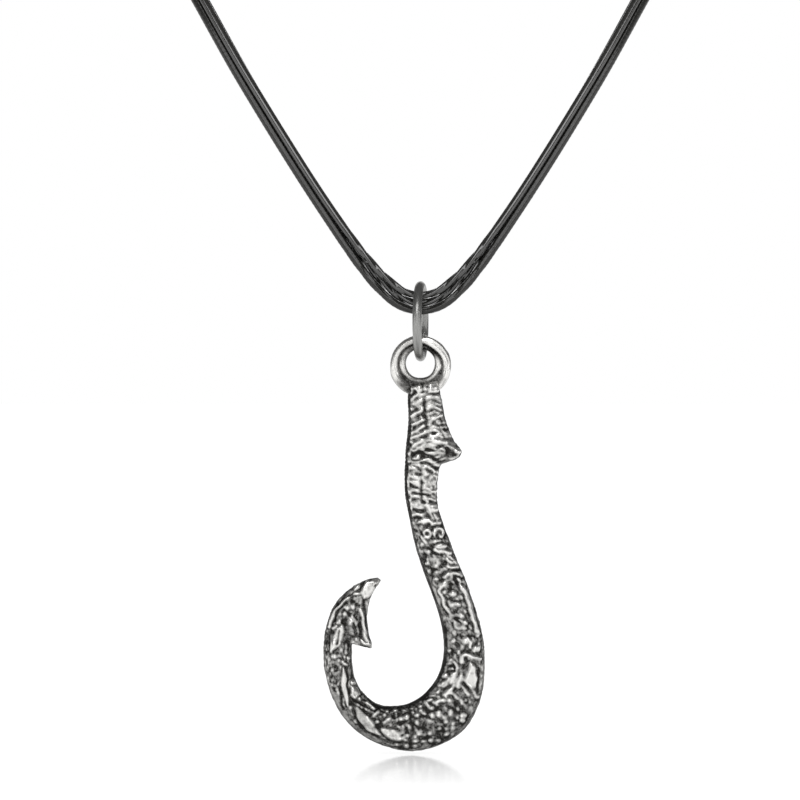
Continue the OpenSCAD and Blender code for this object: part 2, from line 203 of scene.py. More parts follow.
# Creases cut along the leaves and round the forms
# (half-width, depth, points ...)
GROOVES = [
    (2.7, 1, (-17, -9), (-14, -18), (-11.8, -30), (-11.6, -60), (-13, -84)),
    (1.8, 0.8, (15, -7), (20, -15), (21.5, -32)),
    (2.7, 0.5, (-14, -84), (-14.8, -110), (-13.8, -134), (-10.5, -150)),
    (2, 0.45, (24, -258), (25, -284), (21, -306), (12, -320), (3, -331), (-8, -337), (-20, -340),
     (-38, -340)),
    (1.1, 0.4, (49, -222), (54, -240), (58, -256), (60, -268)),
    (1.6, 0.5, (-69, -280), (-70, -296), (-68, -312)),
    (1.5, 0.5, (-81, -322), (-80.5, -334), (-77.5, -344)),
    (1.8, 0.9, (-69, -338.5), (-66, -341)),
    (1.4, 0.3, (-57, -236), (-54, -252), (-53, -266), (-51, -274)),
    (2, 0.8, (-12, -14), (-8, -17), (0, -17.5), (7, -15.5), (12, -12), (20, -8)),
    (1.4, 0.6, (4, -31), (4, -44), (7, -60)),
    (1.7, 0.5, (-10, -30), (-5, -26)),
    (2, 0.7, (3, -49), (4, -49.5)),
    (1.2, 0.6, (0, -58), (6, -55.5)),
    (1.3, 0.7, (0, -65), (7, -62)),
    (1.5, 0.7, (1, -71.5), (7, -69)),
    (1.4, 0.6, (-10, -47), (-3, -43)),
    (1.6, 0.6, (13, -55.5), (13, -58)),
    (1.8, 0.7, (24, -64), (25, -64.5)),
    (1.4, 0.6, (12, -67.5), (14, -68)),
    (1.4, 0.7, (-3, -49.5), (2, -47.5)),
    (1.4, 0.6, (-13, -75), (-10, -80)),
    (1.8, 0.8, (1, -91.5), (7, -91)),
    (2, 0.7, (16, -81), (21, -79.5)),
    (3.6, 1.3, (27, -83), (29, -87), (32, -87.5)),
    (1.8, 1, (-9, -88.5), (-3, -87), (4, -88), (12, -92), (20, -98)),
    (2, 0.8, (5, -84), (13, -85)),
    (2.2, 0.8, (31, -90), (35, -89)),
    (1.8, 0.7, (-8, -164), (-4, -166)),
    (1, 0.4, (21, -84), (28, -92)),
    (1, 0.4, (0.5, -97), (0.5, -136)),
    (1.7, 0.8, (1, -97.5), (8, -98.5), (17, -103)),
    (1.4, 0.6, (6, -104.5), (12, -107)),
    (1.2, 0.5, (-4, -102), (0, -105)),
    (1.2, 0.5, (-4, -108), (0, -110)),
    (1.5, 0.6, (-10, -119), (-3, -122)),
    (1.2, 0.5, (-9, -127), (-1, -128)),
    (1.1, 0.5, (0.5, -128.5), (10, -129.5)),
    (1.2, 0.5, (-9, -134.5), (-2, -134)),
    (1.6, 0.7, (1, -137), (4, -137)),
    (1.4, 0.6, (9, -136), (16, -137.5)),
    (2.2, 1, (-7, -144), (-2, -145), (4, -145)),
    (1.4, 0.6, (-6, -153), (0, -152)),
    (1.6, 0.6, (6.5, -149.5), (10, -152)),
    (2, 0.8, (4, -161), (5, -161)),
    (1.3, 0.5, (-4, -160), (1, -159)),
    (1.2, 0.6, (-1, -166), (3, -170.5)),
    (1.3, 0.8, (16, -170), (19, -172)),
    (1.6, 0.8, (10, -179), (12, -187.5), (17, -188.5)),
    (1.6, 0.6, (3, -181), (8, -183)),
    (3.5, 0.9, (3, -190), (3, -195)),
    (2.2, 0.8, (24, -196), (26, -198), (21, -201)),
    (1.5, 0.9, (21, -210), (27, -206), (39, -205)),
    (1.6, 0.8, (17.5, -211.5), (20, -215)),
    (1.8, 0.6, (31, -219), (28, -226)),
    (1.6, 0.7, (34, -246.5), (36, -244)),
    (1.5, 0.7, (34.5, -254), (37, -255.5)),
    (2.8, 1.1, (35, -279), (37, -281.5)),
    (2.4, 1, (34, -214), (37, -218)),
    (1.4, 0.8, (52, -282), (57, -279)),
    (1.2, 0.7, (56, -288), (60, -291)),
    (1.6, 0.9, (41, -288), (45, -286), (49, -286.5)),
    (1.8, 0.9, (44, -293), (47, -296)),
    (2.5, 1.1, (43, -300), (45, -302)),
    (1, 0.6, (26, -303), (30, -301), (34, -303)),
    (1, 0.6, (30, -305.5), (34, -305)),
    (1.4, 0.6, (58, -304), (58, -316), (58, -328)),
    (1.2, 0.7, (28, -307), (29, -310)),
    (1.8, 0.7, (-67.5, -263), (-65, -266)),
    (1.2, 0.6, (28, -320), (29, -322)),
    (1.3, 0.7, (27, -331), (30, -330), (34, -333)),
    (2.6, 0.9, (35, -338), (37, -340)),
    (1.8, 0.9, (-1, -373), (6, -373.5)),
    (2.5, 1, (17, -370), (19, -371)),
    (2, 0.9, (-27, -358), (-19, -358)),
    (2.4, 0.8, (-28, -350), (-26, -353)),
    (1.6, 0.8, (-27.5, -362.5), (-21, -364.5)),
    (1.8, 0.9, (17, -354.5), (21, -356.5)),
    (1.5, 0.8, (31, -354.5), (34, -355.5)),
    (2, 0.7, (3, -364.5), (7, -366)),
    (1.2, 0.8, (0, -351.5), (8, -351.5)),
    (2, 0.8, (-8, -357), (-8, -359)),
    (2, 0.8, (4, -360), (4, -362)),
    (1.4, 0.9, (-68, -345), (-63, -357), (-55, -367), (-50, -370), (-42, -374), (-30, -379)),
    (2, 1, (-67, -335), (-60, -338), (-52, -342)),
    (1.3, 0.8, (-58, -345), (-52, -350)),
    (1.6, 0.8, (-43, -360), (-41, -366)),
    (1.4, 0.7, (-19, -371), (-13, -367)),
    (1, 0.5, (-81, -265), (-82, -273), (-84, -280)),
    (1.3, 0.7, (-84, -317), (-84, -318)),
    (1.3, 0.7, (-88, -323), (-88, -324)),
    (1.5, 0.9, (-88, -267), (-87, -267.5)),
    (1.1, 0.7, (-74, -303), (-73, -322), (-70.5, -340)),
    (1.2, 0.9, (-89, -259), (-85.5, -250), (-80.5, -242), (-74, -235.5)),
    (2, 0.9, (-69.5, -235), (-68.5, -237)),
    (2, 0.8, (-72, -249), (-71, -250)),
    (2, 0.8, (-77, -256), (-77, -258)),
    (2.6, 0.9, (-61, -259), (-59, -264), (-60, -270)),
    (1.4, 0.7, (-67.5, -258.5), (-66.5, -262)),
    (2, 0.8, (-66.5, -266.5), (-64, -270)),
    (1.8, 0.6, (-88, -300), (-84, -302)),
    (2.2, 0.7, (-64, -247), (-65, -250)),
    (1.5, 0.6, (-59, -220), (-59, -222)),
]
# Curled ringlets
# [right, up, radius, half-width, rise]
RINGLETS = [
    [16.5, -89, 2.6, 1.1, 0.6],
    [8, -117, 3.2, 1.2, 0.7],
    [18.5, -167, 4.3, 1.5, 0.9],
    [7, -168.5, 3.8, 1.5, 0.8],
    [28, -211.5, 3, 1.3, 0.55],
    [16, -217, 4, 1.4, 0.5],
    [42, -218, 2.4, 1.1, 0.7],
    [38, -259, 4.6, 1.5, 0.62],
    [30, -294.5, 3.6, 0.9, 0.5],
    [-67.5, -318, 3.6, 0.9, 0.6],
    [-69, -256, 4.2, 1, 0.6],
    [24.5, -349, 3.2, 1.2, 0.6],
]
# Pebbles
# [right, up, half-width, half-height, rise]
PEBBLES = [
    [8, -52, 2, 2, 0.8], [9, -59, 2, 2, 0.8], [10, -65, 2, 2, 0.8], [9, -70, 2, 2, 0.8],
    [18, -56, 3, 2.6, 0.8], [37.5, -85.5, 3.4, 3.8, 1], [-4, -91.5, 4.4, 2.6, 0.8],
    [3, -95, 2.2, 1.8, 0.9], [5, -108, 3.2, 3, 0.8], [4, -116, 2, 2, 0.7], [4, -121, 2.4, 2, 0.9],
    [11, -121.5, 2, 2, 0.7], [18, -157, 2.4, 2.4, 0.9], [14.5, -213.5, 2.2, 2.2, 1],
    [6.5, -198, 2.4, 2, 0.9], [16, -201, 2, 2, 0.7], [9, -206, 2, 2.8, 0.6],
    [24, -219, 3, 2.4, 0.8], [32.5, -228.5, 4, 3, 0.9], [37.5, -239, 2.6, 2.4, 1],
    [41, -250.5, 2.8, 2.6, 0.9], [45.5, -246.5, 1.9, 2.2, 0.7], [44, -263, 2.4, 2, 0.7],
    [45, -258, 2, 2.2, 0.8], [38, -213.5, 2.4, 2, 1], [43, -216, 1.8, 1.8, 0.8],
    [34, -268, 2.2, 3, 0.6], [32, -276, 2.4, 2.6, 0.7], [45, -277, 2.8, 2.6, 1],
    [41, -282, 2.4, 2.2, 0.6], [28, -286, 2, 2, 0.8], [30, -294.5, 2.4, 1.8, 1],
    [38, -288, 2, 2, 0.7], [24, -311, 2.6, 3.4, 0.95], [18.5, -319.5, 2.8, 2.4, 0.8],
    [16.5, -327, 2, 1.8, 1], [8.7, -334.7, 3.6, 1.8, 1], [29, -335, 3.4, 1.8, 0.9],
    [41, -337, 1.9, 3, 0.8], [46, -336, 1.4, 1.6, 0.8], [50, -338, 1.3, 2.2, 0.8],
    [-1.3, -340.7, 2, 1.8, 0.8], [11, -343, 2.6, 1.6, 1], [25, -343, 2.4, 1.5, 0.8],
    [-0.7, -345.7, 2, 1.6, 0.8], [3.7, -348.3, 2.8, 1.6, 1], [-3.7, -350, 2.8, 1.8, 0.9],
    [11.3, -349.7, 2.6, 2.8, 0.9], [17.7, -349, 2.6, 3.2, 0.9], [30, -347.7, 2, 4, 1],
    [37, -344.3, 1.7, 2.4, 0.8], [43.3, -350.7, 3.6, 2.4, 1], [37.3, -352.7, 2, 2, 0.8],
    [24, -352.3, 2.4, 1.8, 0.8], [-19, -353.3, 2.4, 2.2, 1], [-14.3, -352, 3, 3, 0.9],
    [-25, -345.3, 2.6, 1.9, 0.9], [8, -356, 2, 2, 0.8], [12, -357, 1.8, 2.2, 0.8],
    [-3.3, -357.7, 1.9, 3, 0.9], [26, -357, 2.2, 2.2, 0.9], [33.3, -359.3, 1.8, 2.2, 0.8],
    [42.5, -355.5, 3, 2.4, 1], [-21.7, -362, 2.6, 1.5, 0.9], [-17, -361.3, 1.8, 1.8, 0.9],
    [-11, -362, 1.8, 2.8, 0.9], [19.3, -363.3, 1.8, 1.8, 0.8], [33.3, -363.3, 2, 2, 0.7],
    [9.3, -368.7, 2, 2, 0.8], [26.7, -370, 2.6, 2.5, 0.8], [32.7, -370, 2, 2, 0.7],
    [-13, -370.7, 1.9, 1.9, 0.8], [-6, -372, 1.7, 1.8, 0.7], [-15, -375.5, 2.8, 1.7, 0.7],
    [-5.3, -376.5, 3, 1.7, 0.8], [3, -377, 2.8, 1.7, 0.8], [10.3, -375.7, 3.2, 2.4, 0.8],
    [19, -376.7, 2.6, 2.2, 0.7], [-23.7, -380.7, 1.9, 1.8, 0.8], [-14, -382, 3.2, 2, 0.7],
    [-5.3, -382.3, 3, 1.6, 0.7], [26, -364, 2, 2, 0.6], [-8, -347, 2, 2, 0.6],
    [-60, -334, 1.8, 1.8, 0.8], [-59, -343, 1.6, 1.6, 0.7], [-43, -357, 1.9, 1.7, 0.9],
    [-34, -346, 2, 2.4, 0.7], [-36, -350, 2, 1.8, 0.7], [-33, -355, 2.4, 2, 0.7],
    [-89, -305, 2, 1.8, 0.7], [-84, -324, 1.9, 1.9, 0.7], [-67.5, -318, 2.2, 2.4, 1],
    [-87, -292, 3, 2.6, 0.8], [-82, -291, 2, 2, 0.6], [-73, -293, 2, 2, 0.9],
    [-77, -292, 1.4, 1.4, 0.8], [-75, -287, 1.6, 2.6, 0.6], [-74, -281, 1.6, 3, 0.5],
    [-73.5, -242.5, 2.4, 3.4, 0.95], [-67.5, -241, 2.2, 3, 1], [-76, -249, 1.8, 1.8, 0.8],
    [-68.5, -251, 1.4, 1.3, 0.8], [-69, -256, 2.8, 2.4, 0.9], [-82, -257, 2.8, 2.6, 0.7],
    [-80.5, -250, 1.8, 2, 0.6], [-89, -315, 2, 2, 0.5], [-82, -313, 2.4, 2.4, 0.5],
    [41, -210, 2, 2.2, 0.9], [57, -332, 2, 2, 0.9], [12.5, -158.5, 2.6, 2, 0.95],
    [16, -340, 2.4, 1.8, 0.8], [-38, -344, 2.4, 2, 0.8], [-76.5, -241.5, 1.8, 2.2, 0.85],
    [-89.5, -271, 1.6, 2.4, 0.8],
]
# Smooth fields, each from its height and its corners
# (height, corners ...)
FIELDS = [
    (0.6, (-74, -229), (-60, -215), (-40, -210), (-37, -214), (-51, -234), (-60, -236),
     (-66, -228)),
    (0.36, (7, -203), (13, -203), (20, -230), (28, -258), (29, -288), (20, -300), (10, -300)),
    (0.58, (11, -224), (19, -224), (22, -234), (19, -240), (13, -236)),
    (0.5, (29, -262), (34, -262), (33, -277), (29, -277)),
    (0.55, (-58, -236), (-50, -236), (-50, -262), (-46, -284), (-58, -280), (-54, -262)),
    (0.58, (-92, -322), (-86, -326), (-80, -340), (-70, -356), (-56, -370), (-40, -378),
     (-44, -384), (-70, -374), (-92, -340)),
    (0.8, (11, -63), (23, -60), (31, -79), (14, -80)),
    (0.12, (14, -90), (26, -88), (34, -89), (41, -86), (38, -92), (28, -98), (16, -100)),
    (0.3, (-76, -266), (-69, -262), (-69, -290), (-80, -290)),
    (0.34, (-75, -299), (-66, -299), (-64, -316), (-72, -316)),
]
# Smooth raised facets, as the corners of each
FACETS = [
    [(-7, -20), (1, -19), (1, -23.5), (-3, -26)],
    [(9, -16.5), (18, -15.5), (18.5, -26), (7, -26.5)],
    [(3, -139), (16, -139), (18.5, -145), (10, -147.5), (7, -143.5)],
    [(52, -286), (54, -283), (59, -277), (60, -286), (57, -288)],
    [(50, -298), (54, -301), (56, -312), (56, -322), (51, -324), (43, -315), (49, -305)],
    [(22, -330), (26, -325), (31, -323), (33, -328), (26, -332)],
    [(26, -313), (30, -307), (35, -306), (35, -313), (30, -319)],
    [(-69, -322), (-63, -323), (-60, -330), (-66, -334), (-70, -330)],
    [(-55, -216), (-49, -216.5), (-46, -222), (-51, -231), (-57, -234), (-60, -227), (-57, -221)],
    [(-50, -216), (-42, -212.5), (-43, -217.5), (-47, -221)],
    [(-68, -221), (-61, -218), (-60, -222), (-67, -226)],
    [(-60, -275), (-55, -278), (-49, -276), (-50, -283), (-56, -281)],
]


def linear(hex_colour):
    """Linear RGBA of an sRGB hex colour."""
    parts = [int(hex_colour[i:i + 2], 16) / 255 for i in (1, 3, 5)]
    return [((c + 0.055) / 1.055) ** 2.4 if c > 0.04045 else c / 12.92 for c in parts] + [1]


def colour_property(name, description, hex_colour):
    """Colour setting with its default given in hex."""
    return bpy.props.FloatVectorProperty(
        name=name, description=description, default=linear(hex_colour), size=4, min=0, max=1,
        subtype="COLOR")


def length_property(name, description, millimetres):
    """Length setting with its default given in millimetres."""
    return bpy.props.FloatProperty(
        name=name, description=description, default=millimetres * MM, min=0, unit="LENGTH",
        precision=5)


class HookSettings(bpy.types.PropertyGroup):
    """Sizes and colours of the cast hook"""
    width: length_property("Width", "Back of the bend to the back of the point", 19.4)
    height: length_property("Height", "Top of the eye to the bottom of the bend", 50.3)
    thickness: length_property("Thickness", "Bend from front to back", 4.2)
    relief: length_property("Relief", "Deepest groove to highest crest", 0.44)
    pebble: length_property("Pebble", "Pitch of the pebbled ground", 0.46)
    eye_width: length_property("Eye", "Outer diameter of the eye", 7.4)
    eye_bore: length_property("Eye hole", "Diameter of the hole in the eye", 3.5)
    eye_lift: length_property("Eye hole lift", "Hole's middle above the eye's middle", 0.3)
    eye_thickness: length_property("Eye thickness", "Eye from front to back", 2.8)
    lean: bpy.props.FloatProperty(
        name="Lean", description="Lean of the hanging hook", default=0, subtype="ANGLE")
    silver: colour_property("Silver", "Burnished crests", "#E4E3E0")
    oxide: colour_property("Oxide", "Blackening left in the recesses", "#2E2D2B")


class RingSettings(bpy.types.PropertyGroup):
    """Sizes and colours of the jump ring"""
    width: length_property("Width", "Outer diameter of the ring", 9.7)
    wire: length_property("Wire", "Diameter of the wire", 1.1)
    turn: bpy.props.FloatProperty(
        name="Turn", description="Turn of the ring about the vertical",
        default=math.radians(-6), subtype="ANGLE")
    plating: colour_property("Plating", "Black nickel of the ring and clasp", "#A0A09E")


class CordSettings(bpy.types.PropertyGroup):
    """Sizes and colours of the waxed cord"""
    loop_width: length_property("Loop width", "Neck loop from side to side", 117)
    strand: length_property("Strand", "Diameter of one strand", 0.95)
    gap: length_property("Gap", "Gap between neighbouring strands", 0.1)
    braid: length_property("Braid", "Length of one lozenge of the braid", 1.3)
    # Painted shade and sheen: the braid is coloured with the thread on its crests and darker
    # between them
    thread: colour_property("Thread", "Dyed thread on the crests of the braid", "#242320")
    shade: colour_property("Shade", "Dyed thread between the crests", "#0E0E0C")


class ClaspSettings(bpy.types.PropertyGroup):
    """Sizes of the barrel clasp"""
    length: length_property("Length", "Length of the barrel", 13)
    width: length_property("Width", "Diameter of the barrel", 4.4)
    socket: length_property("Socket", "Depth of the socket in each end", 4)
    bevel: length_property("Bevel", "Bevel round each end", 0.45)


class StageSettings(bpy.types.PropertyGroup):
    """Camera, light and floor"""
    view_width: length_property("View width", "Width of the picture at the pendant", 96.64)
    view_right: length_property("View right", "Picture's middle, to the right of the eye", -2.48)
    view_height: length_property("View height", "Picture's middle, below the clasp", 149.9)
    lens: bpy.props.FloatProperty(
        name="Lens", description="Focal length in millimetres", default=200, unit="CAMERA")
    floor_gap: length_property("Floor gap", "Air between the hook and the floor", 0.25)
    floor: colour_property("Floor", "Pale glossy floor", "#FFFFFF")


def add_node(tree, kind, settings=(), inputs=()):
    """Adds a node, sets its settings, and sets or links each input."""
    node = tree.nodes.new("ShaderNode" + kind)
    for name, value in dict(settings).items():
        setattr(node, name, value)
    for name, value in dict(inputs).items():
        if isinstance(value, bpy.types.NodeSocket):
            tree.links.new(value, node.inputs[name])
        else:
            node.inputs[name].default_value = value
    return node


def new_material(name):
    """Empty node material, and its tree."""
    material = bpy.data.materials.new(name)
    material.use_nodes = True
    material.node_tree.nodes.clear()
    return material, material.node_tree


def antiqued_silver(settings):
    """Cast silver alloy, blackened all over and buffed back to bright crests."""
    # The buffing leaves mirror-like crests beside matt black recesses
    material, tree = new_material("antiqued cast silver")
    # This attribute holds the buffing and also painted shade: the limb's sides that turn from the
    # front and the eye's patches under the jump ring are darkened
    wear_and_shade = add_node(tree, "Attribute", {"attribute_name": "wear_and_shade"})
    place = add_node(tree, "TexCoord")
    # Casting grain of about 0.05 mm, drawn at 0.2 mm so that it shows
    grain = add_node(tree, "TexNoise", {}, {
        "Vector": place.outputs["Object"], "Scale": 5 / MM, "Detail": 3, "Roughness": 0.6})
    # Clouds of tarnish about 1.1 mm wide
    smudge = add_node(tree, "TexNoise", {}, {
        "Vector": place.outputs["Object"], "Scale": 0.9 / MM, "Detail": 2})
    spread = add_node(tree, "MapRange", {}, {
        "Value": grain.outputs["Fac"], "From Min": 0.3, "From Max": 0.7,
        "To Min": -0.16, "To Max": 0.16})
    tarnish = add_node(tree, "MapRange", {}, {
        "Value": smudge.outputs["Fac"], "From Min": 0.35, "From Max": 0.65,
        "To Min": -0.1, "To Max": 0.1})
    uneven = add_node(tree, "Math", {"operation": "ADD"}, {
        0: spread.outputs["Result"], 1: tarnish.outputs["Result"]})
    buffed = add_node(tree, "Math", {"operation": "ADD", "use_clamp": True}, {
        0: wear_and_shade.outputs["Fac"], 1: uneven.outputs["Value"]})
    colour = add_node(tree, "Mix", {"data_type": "RGBA"}, {
        "Factor": buffed.outputs["Value"], 6: settings.oxide, 7: settings.silver})
    rough = add_node(tree, "MapRange", {}, {
        "Value": buffed.outputs["Value"], "To Min": 0.6, "To Max": 0.28})
    bump = add_node(tree, "Bump", {}, {
        "Strength": 0.25, "Distance": 0.04 * MM, "Height": grain.outputs["Fac"]})
    shader = add_node(tree, "BsdfPrincipled", {}, {
        "Base Color": colour.outputs[2], "Metallic": 1, "Roughness": rough.outputs["Result"],
        "Normal": bump.outputs["Normal"]})
    add_node(tree, "OutputMaterial", {}, {"Surface": shader.outputs["BSDF"]})
    return material


# How often the lines change round and along a millimetre of the piece, and their depth
DRAWN_LINES = [(9, 0.5), 0.2]
TURNED_LINES = [(0.1, 6), 0.03]


def black_nickel(settings, changes, depth):
    """Drawn wire or turned barrel, plated with black nickel."""
    # The drawing and turning leave fine lines that draw each highlight out
    material, tree = new_material("black nickel plate")
    wrap = add_node(tree, "UVMap", {"uv_map": "wrap"})
    stretch = add_node(tree, "Mapping", {}, {
        "Vector": wrap.outputs["UV"], "Scale": (*changes, 1)})
    # Lines about 0.02 mm apart, drawn 0.1 mm apart so that they show
    lines = add_node(tree, "TexNoise", {}, {
        "Vector": stretch.outputs["Vector"], "Scale": 1.2, "Detail": 4, "Roughness": 0.6})
    shade = add_node(tree, "MapRange", {}, {
        "Value": lines.outputs["Fac"], "From Min": 0.3, "From Max": 0.7,
        "To Min": 0.72, "To Max": 1})
    colour = add_node(tree, "VectorMath", {"operation": "SCALE"}, {
        0: settings.plating[:3], "Scale": shade.outputs["Result"]})
    rough = add_node(tree, "MapRange", {}, {
        "Value": lines.outputs["Fac"], "From Min": 0.3, "From Max": 0.7,
        "To Min": 0.42, "To Max": 0.3})
    bump = add_node(tree, "Bump", {}, {
        "Strength": depth, "Distance": 0.03 * MM, "Height": lines.outputs["Fac"]})
    shader = add_node(tree, "BsdfPrincipled", {}, {
        "Base Color": colour.outputs["Vector"], "Metallic": 1,
        "Roughness": rough.outputs["Result"], "Normal": bump.outputs["Normal"]})
    add_node(tree, "OutputMaterial", {}, {"Surface": shader.outputs["BSDF"]})
    return material


def waxed_cotton(settings, wax):
    """Braided cotton cord, dyed black and drawn through wax, of which a share is left."""
    # The wax fills the braid, so it is nearly black; its colour is painted darker between the
    # braid's crests as shade and lighter along them as a soft sheen
    material, tree = new_material("waxed cotton cord")
    crest = add_node(tree, "Attribute", {"attribute_name": "crest"})
    wrap = add_node(tree, "UVMap", {"uv_map": "wrap"})
    # Threads about 0.1 mm apart that run along the cord
    stretch = add_node(tree, "Mapping", {}, {
        "Vector": wrap.outputs["UV"], "Scale": (6, 1.1, 1)})
    fibre = add_node(tree, "TexNoise", {}, {
        "Vector": stretch.outputs["Vector"], "Scale": 1.5, "Detail": 4, "Roughness": 0.65})
    # Painted shade between the braid's crests and painted sheen along them: the colour runs from
    # the shade to the thread
    light = add_node(tree, "Math", {"operation": "MULTIPLY", "use_clamp": True}, {
        0: crest.outputs["Fac"], 1: fibre.outputs["Fac"]})
    spread = add_node(tree, "MapRange", {}, {
        "Value": light.outputs["Value"], "From Min": 0.1, "From Max": 0.6})
    colour = add_node(tree, "Mix", {"data_type": "RGBA"}, {
        "Factor": spread.outputs["Result"], 6: settings.shade, 7: settings.thread})
    rough = add_node(tree, "MapRange", {}, {
        "Value": fibre.outputs["Fac"], "From Min": 0.3, "From Max": 0.7,
        "To Min": 0.42 - 0.2 * wax, "To Max": 0.6 - 0.26 * wax})
    bump = add_node(tree, "Bump", {}, {
        "Strength": 0.2, "Distance": 0.02 * MM, "Height": fibre.outputs["Fac"]})
    shader = add_node(tree, "BsdfPrincipled", {}, {
        "Base Color": colour.outputs[2], "Roughness": rough.outputs["Result"], "IOR": 1.5,
        "Specular IOR Level": 0.25, "Coat Weight": wax, "Coat Roughness": 0.17, "Coat IOR": 1.7,
        "Normal": bump.outputs["Normal"]})
    add_node(tree, "OutputMaterial", {}, {"Surface": shader.outputs["BSDF"]})
    return material


# The floor's buffed patch in metres: its middle, the radii at which it starts to fade and
# ends, and its front and back edge between which the shine rises to PATCH_SHINE
PATCH_MIDDLE = (-0.002, -0.124, 0)
PATCH_FADES, PATCH_ENDS = 0.02, 0.05
PATCH_FRONT, PATCH_BACK = -0.162, -0.104
PATCH_SHINE = 0.56


def pale_floor(settings):
    """White acrylic sheet lit from below, which mirrors a little of what hangs over it."""
    material, tree = new_material("white acrylic sheet")
    place = add_node(tree, "TexCoord")
    # Long unevenness of the sheet, about 40 mm from crest to crest
    waves = add_node(tree, "TexNoise", {}, {
        "Vector": place.outputs["Object"], "Scale": 0.025 / MM})
    bump = add_node(tree, "Bump", {}, {"Strength": 0.02, "Height": waves.outputs["Fac"]})
    sheet = add_node(tree, "BsdfDiffuse", {}, {"Color": settings.floor})
    glow = add_node(tree, "Emission", {}, {"Color": settings.floor, "Strength": 1.1})
    body = add_node(tree, "MixShader", {}, {
        0: 0.7, 1: sheet.outputs["BSDF"], 2: glow.outputs["Emission"]})
    polish = add_node(tree, "BsdfGlossy", {}, {
        "Color": (1, 1, 1, 1), "Roughness": 0.1, "Normal": bump.outputs["Normal"]})
    # The sheet is buffed in a patch under the pendant, less towards its front edge
    axes = add_node(tree, "SeparateXYZ", {}, {0: place.outputs["Object"]})
    shine = add_node(tree, "MapRange", {}, {
        "Value": axes.outputs["Y"], "From Min": PATCH_FRONT, "From Max": PATCH_BACK,
        "To Max": PATCH_SHINE})
    away = add_node(tree, "VectorMath", {"operation": "DISTANCE"}, {
        0: place.outputs["Object"], 1: PATCH_MIDDLE})
    patch = add_node(tree, "MapRange", {"interpolation_type": "SMOOTHSTEP"}, {
        "Value": away.outputs["Value"], "From Min": PATCH_ENDS, "From Max": PATCH_FADES})
    buffed = add_node(tree, "Math", {"operation": "MULTIPLY"}, {
        0: shine.outputs["Result"], 1: patch.outputs["Result"]})
    both = add_node(tree, "MixShader", {}, {
        0: buffed.outputs["Value"], 1: body.outputs["Shader"], 2: polish.outputs["BSDF"]})
    add_node(tree, "OutputMaterial", {}, {"Surface": both.outputs["Shader"]})
    return material


def smooth_step(x, low, high):
    """0 below low and 1 above high, with a smooth change between."""
    t = np.clip((x - low) / (high - low), 0, 1)
    return t * t * (3 - 2 * t)


def curve_through(points, places):
    """Smooth curve through the points, at places counted in points."""
    points = np.asarray(points, float)
    i = np.clip(np.floor(places).astype(int), 0, len(points) - 2)
    t = (places - i)[:, None]
    a, b, c, d = (points[np.clip(i + k, 0, len(points) - 1)] for k in (-1, 0, 1, 2))
    return (2 * b + (c - a) * t + (2 * a - 5 * b + 4 * c - d) * t ** 2
            + (3 * b - a - 3 * c + d) * t ** 3) / 2


def even_places(points, step):
    """Places that split the smooth curve through the points into equal steps."""
    fine = np.linspace(0, len(points) - 1, 40 * len(points))
    path = curve_through(points, fine)
    run = np.concatenate([[0], np.cumsum(np.linalg.norm(np.diff(path, axis=0), axis=1))])
    count = max(2, int(round(run[-1] / step)) + 1)
    return np.interp(np.linspace(0, run[-1], count), run, fine)


# Large odd numbers that mix a cell's three whole numbers and the salt
CELL_MIXERS = (73856093, 19349663, 83492791)
SALT_MIXER = 2654435761
# [bits shifted, mixer] of the two rounds that follow
ROUNDS = [[13, 1274126177], [16, 2246822519]]


def scatter(cells, salt):
    """Repeatable numbers from 0 to 1, one for each whole-numbered cell."""
    n = salt * SALT_MIXER
    for k, mixer in enumerate(CELL_MIXERS):
        n = n ^ (cells[..., k].astype(np.int64) * mixer)
    for shift, mixer in ROUNDS:
        n = (n ^ (n >> shift)) * mixer & 0xFFFFFFFF
    return ((n ^ (n >> 15)) & 0xFFFFFF) / 0xFFFFFF


# How steeply a pebble rises from its seam, and how flat its top is
SEAM_SLOPE = 1.6
PEBBLE_FLATNESS = 0.6


def pebbled(places):
    """Domes round scattered middles, 1 at each middle and 0 at the seams between."""
    base = np.floor(places)
    near = np.full(len(places), 9.0)
    next_near = np.full(len(places), 9.0)
    for step in np.ndindex(3, 3, 3):
        cell = base + np.array(step) - 1
        middle = cell + np.stack([scatter(cell, salt) for salt in (1, 2, 3)], axis=-1)
        away = np.linalg.norm(places - middle, axis=1)
        next_near = np.minimum(next_near, np.maximum(near, away))
        near = np.minimum(near, away)
    return np.clip((next_near - near) * SEAM_SLOPE, 0, 1) ** PEBBLE_FLATNESS


def wavering(places, salt):
    """Smooth noise from 0 to 1, one wave to each unit."""
    base = np.floor(places)
    t = places - base
    t = t * t * (3 - 2 * t)
    total = np.zeros(len(places))
    for step in np.ndindex(2, 2, 2):
        weight = np.prod(np.where(np.array(step) == 1, t, 1 - t), axis=1)
        total += weight * scatter(base + np.array(step), salt)
    return total


def stroke_reach(places, points):
    """Distance of each place from a stroke, and how far along the stroke it lies."""
    points = np.asarray(points, float)
    spans = np.linalg.norm(np.diff(points, axis=0), axis=1)
    starts = np.concatenate([[0], np.cumsum(spans)])
    away = np.full(len(places), np.inf)
    along = np.zeros(len(places))
    for a, b, span, start in zip(points[:-1], points[1:], spans, starts):
        t = np.clip((places - a) @ (b - a) / span ** 2, 0, 1)
        d = np.linalg.norm(places - a - t[:, None] * (b - a), axis=1)
        nearer = d < away
        away = np.where(nearer, d, away)
        along = np.where(nearer, (start + t * span) / starts[-1], along)
    return away, along


